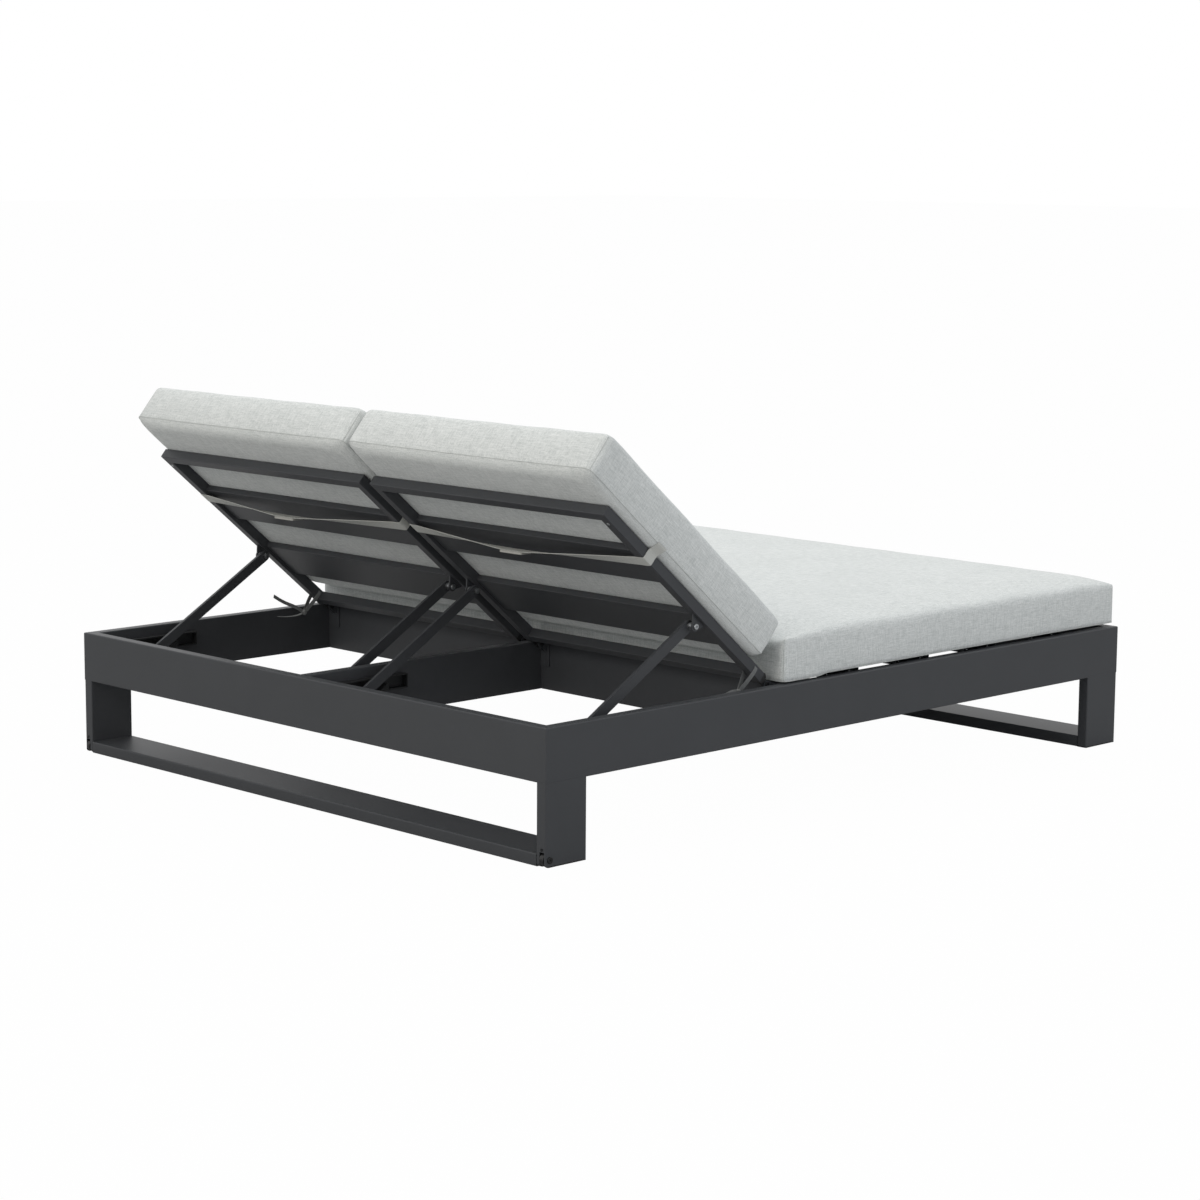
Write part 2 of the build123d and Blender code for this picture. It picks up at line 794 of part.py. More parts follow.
def steepest_back_room():
    """Room for the lower ends of the back cushions when the backrests stand steepest."""
    y_span = (back_pad_start - seat_pad_room, back_pad_start + back_pad_length)
    room = block(grown(about(0, seat_pad_width), overrun), y_span, (0, back_pad_length))
    return Pos(0, hinge_y, hinge_z) * Rot(steepest_angle, 0, 0) * room


def seat_cushion():
    """The wide seat cushion, lying flat on the seat slats."""
    y_span = (-half_length - seat_pad_overhang, hinge_face + seat_pad_reach)
    low = deck_top + seat_pad_seam
    z_span = (low, low + seat_pad_boxing)
    shape = (seat_pad_rise, seat_pad_swell, seat_pad_belly, seat_pad_waist, seat_pad_edge)
    x_span = about(0, seat_pad_width)
    cushion = pad(x_span, y_span, z_span, *shape, seat_pad_head_drop)
    cushion += seat_sag(y_span[1], low)
    corner = (y_span[1], z_span[1] - seat_pad_head_drop)
    across = grown(x_span, overrun)
    cushion -= edge_rounding(across, corner, seat_pad_head_round, 1, 1)
    return cushion - steepest_back_room()


def back_cushion():
    """Cushion of the right backrest, pressed flat where it lies on the panel."""
    x_span = (back_pad_centre_gap, back_pad_centre_gap + back_pad_width)
    y_span = (back_pad_start, back_pad_start + back_pad_length)
    low = panel_face + back_pad_seam
    z_span = (low, low + back_pad_boxing)
    shape = (back_pad_rise, back_pad_swell, back_pad_belly, back_pad_waist, back_pad_edge)
    cushion = pad(x_span, y_span, z_span, *shape, 0.0)
    across = grown(x_span, overrun)
    cushion -= edge_rounding(across, (y_span[0], low), back_pad_foot_round, -1, -1)
    return cushion - block(across, grown(y_span, overrun), (0, panel_face + pad_clearance))


def strap_band():
    """Webbing from one side seam of the right back cushion to the other, drawn tight."""
    seam = panel_face + back_pad_seam
    end = seam + strap_sewn_length
    pad_outer = back_pad_centre_gap + back_pad_width - back_pad_waist + strap_clearance
    pad_inner = back_pad_centre_gap + back_pad_waist - strap_clearance
    tube_outer = back_outer + strap_clearance
    tube_inner = back_inner - strap_clearance
    under = -back_tube / 2 - strap_clearance
    shoulder = panel_face - back_tube_corner / 2
    route = [
        (pad_outer, end),
        (pad_outer, seam),
        (tube_outer, shoulder),
        (tube_outer, under + back_tube_corner / 2),
        (tube_outer - back_tube_corner / 2, under),
        (tube_inner + back_tube_corner / 2, under),
        (tube_inner, under + back_tube_corner / 2),
        (tube_inner, shoulder),
        (pad_inner, seam),
        (pad_inner, end),
    ]
    outline = offset(Polyline(*route), strap_thickness, side=Side.LEFT, kind=Kind.INTERSECTION)
    webbing = Rot(90, 0, 0) * extrude(make_face(outline), strap_width / 2, both=True)
    return Pos(0, strap_reach + strap_width / 2, 0) * webbing


def on_strap(x, sag, turn):
    """Place on the strap's middle line where it has sagged and turned towards level."""
    middle = strap_reach + strap_width / 2 - sag * sin(slope)
    height = -back_tube / 2 - strap_clearance - strap_thickness / 2 - sag * cos(slope)
    return Pos(x, middle, height) * Rot(-turn, 0, 0)


def back_strap(slider_x):
    """Strap that hangs level at its slider and lies flat against both side tubes."""
    inner = back_inner + back_tube
    outer = back_outer - back_tube
    span = block((inner, outer), grown((strap_reach, strap_reach + strap_width), overrun), panel_z())
    hanging = Pos(0, 0, -back_tube / 2) * span
    ends = [slider_x - slider_length / 2, slider_x + slider_length / 2]
    places = [(inner, 0.0, 0.0)] + [(x, strap_sag, rest_angle) for x in ends] + [(outer, 0.0, 0.0)]
    flat = Rot(0, 90, 0) * Rectangle(strap_thickness, strap_width)
    sections = [on_strap(*place) * flat for place in places]
    strap = strap_band() - hanging
    for first, second in zip(sections, sections[1:]):
        strap += loft([first, second], ruled=True)
    return strap


def strap_slider(x):
    """Flat slider with two slots, level under the strap."""
    top = -strap_thickness / 2 - strap_clearance
    z_span = (top - slider_thickness, top)
    plate = block(about(0, slider_length), about(0, slider_width), z_span)
    plate = fillet(plate.edges().filter_by(Axis.Z), slider_corner)
    for side in (1, -1):
        slot_x = about(side * slider_length / 4, slider_slot)
        slot_y = about(0, slider_width - 2 * slider_wall)
        plate -= block(slot_x, slot_y, grown(z_span, overrun))
    return on_strap(x, strap_sag, rest_angle) * plate


def tail(x, length, angle):
    """Loose end of a tape, from its knot."""
    strip = block(about(x, tape_width), (0, length), about(0, tape_thickness))
    return Pos(0, tape_reach, -knot_drop) * Rot(angle, 0, 0) * strip


def tie_tape(x):
    """Tape round the lower end of an outer side tube, with its knot and two loose ends."""
    half = back_tube / 2 + tape_clearance
    neck = knot_neck / 2
    outline = [
        (-half, half),
        (half, half),
        (half, -half),
        (neck, -knot_drop),
        (-neck, -knot_drop),
        (-half, -half),
    ]
    inner = make_face(Polyline(*outline, close=True))
    band = offset(inner, tape_thickness, kind=Kind.INTERSECTION) - inner
    loop = Rot(90, 0, 0) * extrude(band, tape_width / 2, both=True)
    tie = Pos(x, tape_reach, 0) * loop
    knot = fillet(Box(knot_size, knot_size, knot_size).edges(), knot_round)
    tie += Pos(x, tape_reach, -knot_drop) * knot
    tie += tail(x, upper_tail_length, upper_tail_angle)
    return tie + tail(x, lower_tail_length, lower_tail_angle)


save_pair("side_rail", side_rail())
save("head_rail", end_rail(1))
save("foot_rail", end_rail(-1))
save("hinge_rail", frame_rail((-side_face, side_face), (hinge_back_face, hinge_face), Axis.X))
centre_span = (-centre_face, centre_face)
save("centre_rail_head", frame_rail(centre_span, (hinge_face, end_face), Axis.Y))
save("centre_rail_seat", frame_rail(centre_span, (-end_face, hinge_back_face), Axis.Y))
save_pair("leg_head", leg(1))
save_pair("leg_foot", leg(-1))
save("runner_head", runner(1))
save("runner_foot", runner(-1))
save("foot_plugs", group([foot_plug(), mirrored(foot_plug())]))
save_pair("wheel_housing", wheel_housing())
save_pair("wheel", wheel())
save("wheel_axles", group([wheel_axle(), mirrored(wheel_axle())]))
save("housing_screws", group([housing_screw(), mirrored(housing_screw())]))

right_ledges = [ledge(side_face, -1), ledge(centre_face, 1)]
save("seat_ledges", group(right_ledges + [mirrored(angle) for angle in right_ledges]))
right_slats = [seat_slat(head, screw_holes()) for head in slat_heads()]
save_pair("seat_slats", group(right_slats))
right_screws = [slat_screw(x, y) for x, y in screw_places()]
save("seat_slat_screws", group(right_screws + [mirrored(screw) for screw in right_screws]))
save_pair("notch_racks", group([notch_rack(side_face, -1), notch_rack(centre_face, 1)]))

tubes_x = (inner_tube_x, outer_tube_x)
right_brackets = [hinge_bracket(x) for x in tubes_x]
save("hinge_brackets", group(right_brackets + [mirrored(piece) for piece in right_brackets]))
right_bushes = [turning_bush(x) for x in tubes_x]
save("hinge_bushes", group(right_bushes + [mirrored(piece) for piece in right_bushes]))
right_bolts = hinge_fastener(inner_tube_x, -1) + hinge_fastener(outer_tube_x, 1)
save("hinge_bolts", group(right_bolts + [mirrored(piece) for piece in right_bolts]))

save_pair("back_tube_inner", on_backrest(side_tube(inner_tube_x, back_inner)))
save_pair("back_tube_outer", on_backrest(side_tube(outer_tube_x, back_outer)))
save_pair("back_top_tube", on_backrest(top_tube()))
save_pair("back_slat_upper", on_backrest(panel_bar(upper_slat_reach, slat_width, slat_thickness)))
save_pair("back_slat_lower", on_backrest(panel_bar(lower_slat_reach, slat_width, slat_thickness)))
bottom_bar = panel_bar(back_tube_start, back_tube, back_tube)
save_pair("back_bottom_bar", on_backrest(bottom_bar))
save_pair("hinge_ends", group([on_backrest(hinge_end(x)) for x in tubes_x]))

inner_prop = (inner_tube_x, 1)
outer_prop = (outer_tube_x, -1)
spacers = [prop_spacer(*inner_prop), prop_spacer(*outer_prop)]
save_pair("prop_spacers", group([on_backrest(piece) for piece in spacers]))
prop_bolts = pivot_fastener(*inner_prop) + pivot_fastener(*outer_prop)
save_pair("prop_bolts", group([on_backrest(piece) for piece in prop_bolts]))
save_pair("prop_arms", group([on_prop(prop_arm(*side)) for side in (inner_prop, outer_prop)]))
save_pair("prop_rod", on_prop(prop_rod()))

save("seat_cushion", seat_cushion())
save_pair("back_cushion", on_backrest(back_cushion()))
save("back_strap_right", on_backrest(back_strap(slider_right_offset)))
save("back_strap_left", mirrored(on_backrest(back_strap(slider_left_offset))))
save("strap_slider_right", on_backrest(strap_slider(slider_right_offset)))
save("strap_slider_left", mirrored(on_backrest(strap_slider(slider_left_offset))))
save_pair("tie_tape", on_backrest(tie_tape(outer_tube_x)))
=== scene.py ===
# %% [markdown]
# A double chaise lounger is rebuilt here as a picture-ready model.
# The metal frame comes in from the CAD model as it is, and only gets its finishes.
# The cushions, straps and tapes are soft, so they are made again in this script.

# %% Load the fixed frame
import json
from math import atan2, cos, pi, radians, sin

import bpy
import numpy as np
from mathutils import Matrix, Vector


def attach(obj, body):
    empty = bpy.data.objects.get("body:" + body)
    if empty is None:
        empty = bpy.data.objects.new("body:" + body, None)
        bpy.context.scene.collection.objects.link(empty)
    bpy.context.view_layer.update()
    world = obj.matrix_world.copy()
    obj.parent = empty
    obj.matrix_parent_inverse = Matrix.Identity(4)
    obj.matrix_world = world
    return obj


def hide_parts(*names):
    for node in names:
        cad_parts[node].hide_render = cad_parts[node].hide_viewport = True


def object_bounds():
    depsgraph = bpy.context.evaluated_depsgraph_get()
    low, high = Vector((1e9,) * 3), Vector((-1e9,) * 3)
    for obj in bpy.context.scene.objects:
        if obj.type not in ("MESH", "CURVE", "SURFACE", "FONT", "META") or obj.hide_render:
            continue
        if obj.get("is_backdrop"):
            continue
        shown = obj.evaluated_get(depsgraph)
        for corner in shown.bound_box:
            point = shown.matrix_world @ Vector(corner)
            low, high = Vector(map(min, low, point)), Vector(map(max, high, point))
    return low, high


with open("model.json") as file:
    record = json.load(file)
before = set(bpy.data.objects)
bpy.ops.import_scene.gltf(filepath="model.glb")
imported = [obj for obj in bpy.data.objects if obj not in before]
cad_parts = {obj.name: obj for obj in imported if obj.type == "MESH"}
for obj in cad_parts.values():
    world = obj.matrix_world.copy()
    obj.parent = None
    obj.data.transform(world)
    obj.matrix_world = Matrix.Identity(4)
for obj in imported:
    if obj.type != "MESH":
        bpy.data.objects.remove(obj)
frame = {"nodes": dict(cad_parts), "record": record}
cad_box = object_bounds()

print("nodes from the CAD model:", len(frame["nodes"]))

# %% [markdown]
# All sizes below are in millimetres, as in a maker's drawing, and Blender works in metres.
# Operators act on whatever is selected, so each step starts by selecting one object alone.

# %% Units and selection helpers
MM = 0.001
SIDES = {"left": -1, "right": 1}


def only(obj):
    """Leave edit mode and select this object alone."""
    if bpy.context.object and bpy.context.object.mode != "OBJECT":
        bpy.ops.object.mode_set(mode="OBJECT")
    bpy.ops.object.select_all(action="DESELECT")
    obj.select_set(True)
    bpy.context.view_layer.objects.active = obj


def points_of(obj):
    """The mesh's vertices as an array."""
    flat = np.empty(len(obj.data.vertices) * 3, np.float64)
    obj.data.vertices.foreach_get("co", flat)
    return flat.reshape(-1, 3)


def set_points(obj, places):
    obj.data.vertices.foreach_set("co", np.asarray(places, np.float32).ravel())
    obj.data.update()


def finish_with(obj, material):
    """Give a mesh this finish alone."""
    obj.data.materials.clear()
    obj.data.materials.append(material)


def apply_modifiers(obj):
    only(obj)
    for modifier in list(obj.modifiers):
        bpy.ops.object.modifier_apply(modifier=modifier.name)


# %% [markdown]
# The backrests lie at 40.2 degrees on a hinge line across the lounger.
# It is easier to model what belongs to a backrest lying flat, with the hinge at the origin,
# and to turn the finished mesh into place, as the CAD model does.

# %% Place of the backrests
REST_ANGLE = radians(40.2)
HINGE = Vector((0.0, 264.5 * MM, 297.5 * MM))
PANEL_FACE = 12.5 * MM
TO_BACKREST = Matrix.Translation(HINGE) @ Matrix.Rotation(REST_ANGLE, 4, "X")


def set_on_backrest(obj):
    """Turn a mesh that was modelled flat up to the angle of the backrest."""
    obj.data.transform(TO_BACKREST)
    obj.data.update()


print("hinge line at", tuple(round(value, 4) for value in HINGE))

# %% [markdown]
# The camera stands where the photographer stood.
# Its place, turn and lens were worked out from the frame's corners in the photograph.

# %% Camera
CAMERA_PLACE = Vector((-5.2830, 5.1923, 1.5021))
SENSOR = 36.0
FOCAL_PIXELS = 2986.7
PHOTO_PIXELS = 1200
yaw, pitch, roll = radians(134.348), radians(-8.658), radians(0.373)
forward = Vector((cos(pitch) * sin(yaw), cos(pitch) * cos(yaw), sin(pitch)))
level = forward.cross(Vector((0, 0, 1))).normalized()
upright = level.cross(forward)
camera_x = cos(roll) * level + sin(roll) * upright
camera_y = -sin(roll) * level + cos(roll) * upright
turn = Matrix((camera_x, camera_y, -forward)).transposed()
lens_data = bpy.data.cameras.new("camera")
lens_data.sensor_width = SENSOR
lens_data.lens = SENSOR * FOCAL_PIXELS / PHOTO_PIXELS
lens_data.clip_end = 200.0
camera = bpy.data.objects.new("camera", lens_data)
camera.matrix_world = Matrix.Translation(CAMERA_PLACE) @ turn.to_4x4()
bpy.context.scene.collection.objects.link(camera)
bpy.context.scene.camera = camera
print("lens", round(lens_data.lens, 1), "mm")

# %% [markdown]
# Every finish is a small tree of nodes. Two helpers are enough to build them all:
# one turns a colour, written in hex, to the linear values that light needs,
# and one adds a node with its settings and its links.

# %% Colour and node helpers


def linear(code, alpha=1.0):
    """A hex colour as linear light."""
    parts = [int(code[i : i + 2], 16) / 255 for i in (1, 3, 5)]
    light = [c / 12.92 if c <= 0.04045 else ((c + 0.055) / 1.055) ** 2.4 for c in parts]
    return (*light, alpha)


def add_node(tree, kind, settings=None, links=None):
    """Add a node, set its sockets or properties, and link its inputs."""
    node = tree.nodes.new(kind)
    for name, value in (settings or {}).items():
        if isinstance(name, int) or name in node.inputs:
            node.inputs[name].default_value = value
        else:
            setattr(node, name, value)
    for name, source in (links or {}).items():
        tree.links.new(source, node.inputs[name])
    return node


def new_material(name):
    """An empty material with its output, ready for nodes."""
    material = bpy.data.materials.new(name)
    material.use_nodes = True
    material.node_tree.nodes.clear()
    return material, material.node_tree


def finish_surface(tree, settings, links):
    surface = add_node(tree, "ShaderNodeBsdfPrincipled", settings, links)
    output = add_node(tree, "ShaderNodeOutputMaterial", {}, {"Surface": surface.outputs[0]})
    return output


# %% [markdown]
# The frame is aluminium tube with a charcoal powder coat.
# The powder is sprayed dry and baked, which leaves a satin skin with a faint orange peel:
# soft bumps of about a millimetre, and a colour that varies very little.

# %% Charcoal powder coat


def powder_coat(name, dark, light, rough):
    material, tree = new_material(name)
    place = add_node(tree, "ShaderNodeTexCoord").outputs["Object"]
    cloud = add_node(
        tree, "ShaderNodeTexNoise", {"Scale": 9.0, "Detail": 3.0}, {"Vector": place}
    )
    tone = add_node(
        tree,
        "ShaderNodeMix",
        {"data_type": "RGBA", 6: linear(dark), 7: linear(light)},
        {0: cloud.outputs["Fac"]},
    )
    grain = add_node(
        tree, "ShaderNodeTexNoise", {"Scale": 800.0, "Detail": 2.0}, {"Vector": place}
    )
    gloss = add_node(
        tree,
        "ShaderNodeMapRange",
        {"To Min": rough - 0.05, "To Max": rough + 0.05},
        {"Value": grain.outputs["Fac"]},
    )
    peel = add_node(
        tree,
        "ShaderNodeBump",
        {"Strength": 0.25, "Distance": 0.08 * MM},
        {"Height": grain.outputs["Fac"]},
    )
    finish_surface(
        tree,
        {"Metallic": 0.0, "IOR": 1.5, "Specular IOR Level": 0.3},
        {
            "Base Color": tone.outputs[2],
            "Roughness": gloss.outputs[0],
            "Normal": peel.outputs["Normal"],
        },
    )
    return material


charcoal = powder_coat("charcoal_powder_coat", "#393B3E", "#3E4043", 0.45)
rack_black = powder_coat("black_powder_coat", "#1C1D1E", "#212223", 0.5)
print("powder coats:", charcoal.name, rack_black.name)

# %% [markdown]
# Pivot bolts, spacers and slat screws are zinc-plated steel: bright, slightly blue,
# with fine turning marks that blur the reflection. The wheel axles, the screws of their
# housings and the hinge bolts are blackened instead.

# %% Steel finishes


def steel(name, colour, rough, metallic):
    material, tree = new_material(name)
    place = add_node(tree, "ShaderNodeTexCoord").outputs["Object"]
    marks = add_node(
        tree, "ShaderNodeTexNoise", {"Scale": 1200.0, "Detail": 2.0}, {"Vector": place}
    )
    gloss = add_node(
        tree,
        "ShaderNodeMapRange",
        {"To Min": rough - 0.08, "To Max": rough + 0.08},
        {"Value": marks.outputs["Fac"]},
    )
    dents = add_node(
        tree,
        "ShaderNodeBump",
        {"Strength": 0.15, "Distance": 0.05 * MM},
        {"Height": marks.outputs["Fac"]},
    )
    finish_surface(
        tree,
        {"Base Color": linear(colour), "Metallic": metallic},
        {"Roughness": gloss.outputs[0], "Normal": dents.outputs["Normal"]},
    )
    return material


zinc = steel("zinc_plated_steel", "#A9ACAE", 0.38, 1.0)
black_steel = steel("blackened_steel", "#161718", 0.45, 0.4)
print("steels:", zinc.name, black_steel.name)

# %% [markdown]
# Plugs, hinge ends and wheels are black moulded nylon, and the straps' sliders are grey.
# A mould gives an even satin surface with a very fine spark texture, and edges that
# catch a soft light.

# %% Moulded plastic


def moulded(name, colour, rough):
    material, tree = new_material(name)
    place = add_node(tree, "ShaderNodeTexCoord").outputs["Object"]
    spark = add_node(
        tree, "ShaderNodeTexNoise", {"Scale": 1500.0, "Detail": 1.0}, {"Vector": place}
    )
    skin = add_node(
        tree,
        "ShaderNodeBump",
        {"Strength": 0.3, "Distance": 0.04 * MM},
        {"Height": spark.outputs["Fac"]},
    )
    finish_surface(
        tree,
        {"Base Color": linear(colour), "Roughness": rough, "IOR": 1.5},
        {"Normal": skin.outputs["Normal"]},
    )
    return material


nylon = moulded("moulded_black_nylon", "#0F0F10", 0.55)
wheel_nylon = moulded("moulded_wheel_nylon", "#0B0B0C", 0.42)
grey_nylon = moulded("moulded_grey_nylon", "#A3A39E", 0.5)
print("plastics:", nylon.name, wheel_nylon.name, grey_nylon.name)

# %% [markdown]
# The cushion covers are woven from a heathered olefin yarn: pale grey with thicker and
# thinner stretches, called slubs, that run a few centimetres along both directions of the
# cloth. Three noises, each stretched along one axis, cross on every face of a cushion.
# The real threads are half a millimetre apart, which is too fine to show at this distance,
# so the slubs are drawn about 2 mm wide and the weave 1.5 mm.

# %% Heathered cloth
SLUB_WIDTH = 2.0 * MM
SLUB_LENGTH = 26.0 * MM
THREAD = 1.5 * MM


def cloth(name, dark, light, angle):
    material, tree = new_material(name)
    place = add_node(tree, "ShaderNodeTexCoord").outputs["Object"]
    flat = add_node(
        tree, "ShaderNodeMapping", {"Rotation": (-angle, 0.0, 0.0)}, {"Vector": place}
    ).outputs["Vector"]
    streaks = []
    for axis in range(3):
        scale = [1 / SLUB_WIDTH] * 3
        scale[axis] = 1 / SLUB_LENGTH
        stretched = add_node(
            tree, "ShaderNodeMapping", {"Scale": tuple(scale)}, {"Vector": flat}
        )
        streak = add_node(
            tree,
            "ShaderNodeTexNoise",
            {"Scale": 1.0, "Detail": 2.0, "Roughness": 0.6},
            {"Vector": stretched.outputs["Vector"]},
        )
        streaks.append(streak.outputs["Fac"])
    pair = add_node(tree, "ShaderNodeMath", {"operation": "ADD"}, {0: streaks[0], 1: streaks[1]})
    total = add_node(
        tree, "ShaderNodeMath", {"operation": "ADD"}, {0: pair.outputs[0], 1: streaks[2]}
    )
    spread = add_node(
        tree,
        "ShaderNodeMapRange",
        {"From Min": 1.15, "From Max": 1.85},
        {"Value": total.outputs[0]},
    )
    cloud = add_node(
        tree, "ShaderNodeTexNoise", {"Scale": 5.0, "Detail": 2.0}, {"Vector": flat}
    )
    shade = add_node(
        tree,
        "ShaderNodeMath",
        {"operation": "MULTIPLY_ADD", 1: 0.25, 2: -0.1},
        {0: cloud.outputs["Fac"]},
    )
    tone_level = add_node(
        tree,
        "ShaderNodeMath",
        {"operation": "ADD", "use_clamp": True},
        {0: spread.outputs[0], 1: shade.outputs[0]},
    )
    tone = add_node(
        tree,
        "ShaderNodeMix",
        {"data_type": "RGBA", 6: linear(dark), 7: linear(light)},
        {0: tone_level.outputs[0]},
    )
    threads = add_node(
        tree,
        "ShaderNodeTexVoronoi",
        {"Scale": 1 / THREAD, "Randomness": 0.35},
        {"Vector": flat},
    )
    weave = add_node(
        tree,
        "ShaderNodeBump",
        {"Strength": 0.35, "Distance": 0.25 * MM},
        {"Height": threads.outputs["Distance"]},
    )
    slubs = add_node(
        tree,
        "ShaderNodeBump",
        {"Strength": 0.3, "Distance": 0.4 * MM},
        {"Height": total.outputs[0], "Normal": weave.outputs["Normal"]},
    )
    finish_surface(
        tree,
        {
            "Roughness": 0.92,
            "Specular IOR Level": 0.2,
            "Sheen Weight": 0.12,
            "Sheen Roughness": 0.5,
        },
        {"Base Color": tone.outputs[2], "Normal": slubs.outputs["Normal"]},
    )
    return material


seat_cloth = cloth("heathered_olefin_seat", "#B3B8B7", "#DADDDC", 0.0)
back_cloth = cloth("heathered_olefin_back", "#B3B8B7", "#DADDDC", REST_ANGLE)
seam_cloth = cloth("sewn_edge_cloth", "#A3A7A5", "#C0C4C2", 0.0)
print("cloths:", seat_cloth.name, back_cloth.name, seam_cloth.name)

# %% [markdown]
# Straps and tapes are woven flat webbing. Its ribs run across the band, so the pattern
# follows the band by its own UV map: U counts metres along it and V metres across.

# %% Woven webbing
RIB = 2.4 * MM


def webbing_cloth(name, dark, light):
    material, tree = new_material(name)
    band = add_node(tree, "ShaderNodeUVMap", {"uv_map": "band"}).outputs["UV"]
    ribs = add_node(
        tree,
        "ShaderNodeTexWave",
        {"bands_direction": "X", "Scale": pi / (10 * RIB), "Distortion": 0.4, "Detail": 1.0},
        {"Vector": band},
    )
    grain = add_node(
        tree, "ShaderNodeTexNoise", {"Scale": 700.0, "Detail": 2.0}, {"Vector": band}
    )
    mixed = add_node(
        tree,
        "ShaderNodeMath",
        {"operation": "MULTIPLY"},
        {0: ribs.outputs["Fac"], 1: grain.outputs["Fac"]},
    )
    tone = add_node(
        tree,
        "ShaderNodeMix",
        {"data_type": "RGBA", 6: linear(dark), 7: linear(light)},
        {0: mixed.outputs[0]},
    )
    raised = add_node(
        tree,
        "ShaderNodeBump",
        {"Strength": 0.5, "Distance": 0.3 * MM},
        {"Height": ribs.outputs["Fac"]},
    )
    finish_surface(
        tree,
        {"Roughness": 0.85, "Specular IOR Level": 0.25},
        {"Base Color": tone.outputs[2], "Normal": raised.outputs["Normal"]},
    )
    return material


strap_cloth = webbing_cloth("woven_strap_webbing", "#A9ABA7", "#DBDCD8")
# The tie tapes are really pale grey webbing. These darker colours are painted shade, standing in
# for the shadow they hang in under the panel.
tape_cloth_painted_shade = webbing_cloth("woven_tie_tape_painted_shade", "#666868", "#8C8E8E")
print("webbings:", strap_cloth.name, tape_cloth_painted_shade.name)

# %% [markdown]
# Each piece of the CAD frame keeps its shape and only changes its finish.
# The record already says which finish group a piece belongs to.

# %% Finish the frame's pieces
FINISHES = {
    "frame_metal": charcoal,
    "rack_metal": rack_black,
    "zinc_steel": zinc,
    "black_steel": black_steel,
    "black_plastic": nylon,
    "wheel_plastic": wheel_nylon,
    "slider_plastic": grey_nylon,
    "cushion_fabric": seat_cloth,
    "webbing": strap_cloth,
}
for part in frame["record"]["subparts"]:
    node = frame["nodes"][part["node"]]
    finish = FINISHES[part["material_slot"]]
    for place in range(max(1, len(node.data.materials))):
        if node.data.materials:
            node.data.materials[place] = finish
        else:
            node.data.materials.append(finish)

# %% [markdown]
# A box cushion is foam in a sewn cover: a top and a bottom panel, and a band between them
# called the boxing. The foam pushes the panels out into a low crown, and the seams pull the
# sides in between the corners. It is built from a cube that is cut into a fine grid,
# bent to that form, and then blown up a little by a cloth simulation.

# %% Cut a cube into a grid


def cut_across(obj, axis, cuts):
    """Subdivide only the edges that run along one axis."""
    only(obj)
    bpy.ops.object.mode_set(mode="EDIT")
    bpy.ops.mesh.select_mode(type="EDGE")
    bpy.ops.mesh.select_all(action="DESELECT")
    bpy.ops.object.mode_set(mode="OBJECT")
    places = points_of(obj)
    for edge in obj.data.edges:
        run = np.abs(places[edge.vertices[0]] - places[edge.vertices[1]])
        edge.select = bool(run[axis] > 0.9 * np.linalg.norm(run))
    bpy.ops.object.mode_set(mode="EDIT")
    bpy.ops.mesh.subdivide(number_cuts=cuts)
    bpy.ops.object.mode_set(mode="OBJECT")


def grid_cube(name, cuts):
    """A cube from -1 to 1, cut into an even grid; the cushion's form later draws it finer towards
    its edges.
    """
    bpy.ops.object.select_all(action="DESELECT")
    bpy.ops.mesh.primitive_cube_add(size=2.0)
    obj = bpy.context.object
    obj.name = name
    for axis, count in enumerate(cuts):
        cut_across(obj, axis, count)
    return obj


# %% [markdown]
# The form itself is worked out for all points at once. Corners are rounded in plan,
# sides are drawn in towards their middle, and the panels rise from the seams.

# %% Bend the grid to a cushion
CLUSTER = 0.55
EAR_REACH = 60
BORDER = 0.999
RIPPLE_HEIGHT = 0.8 * MM
RIPPLE_X = (31.0, 1.3)
RIPPLE_Y = (23.0, 0.4)


def smooth_step(value):
    """A share from 0 to 1 with soft ends."""
    share = np.clip(value, 0.0, 1.0)
    return share * share * (3 - 2 * share)


def round_corner(first, second, radius):
    """Two distances in from a sharp edge, bent to a round edge, as shifts inwards."""
    depth = np.column_stack([radius - first, radius - second])
    inside = (depth > 0).all(axis=1)
    reach = np.linalg.norm(depth, axis=1)
    shift = np.zeros_like(depth)
    pull = 1 - depth[inside].max(axis=1) / np.maximum(reach[inside], 1e-9)
    shift[inside] = depth[inside] * pull[:, None]
    return shift


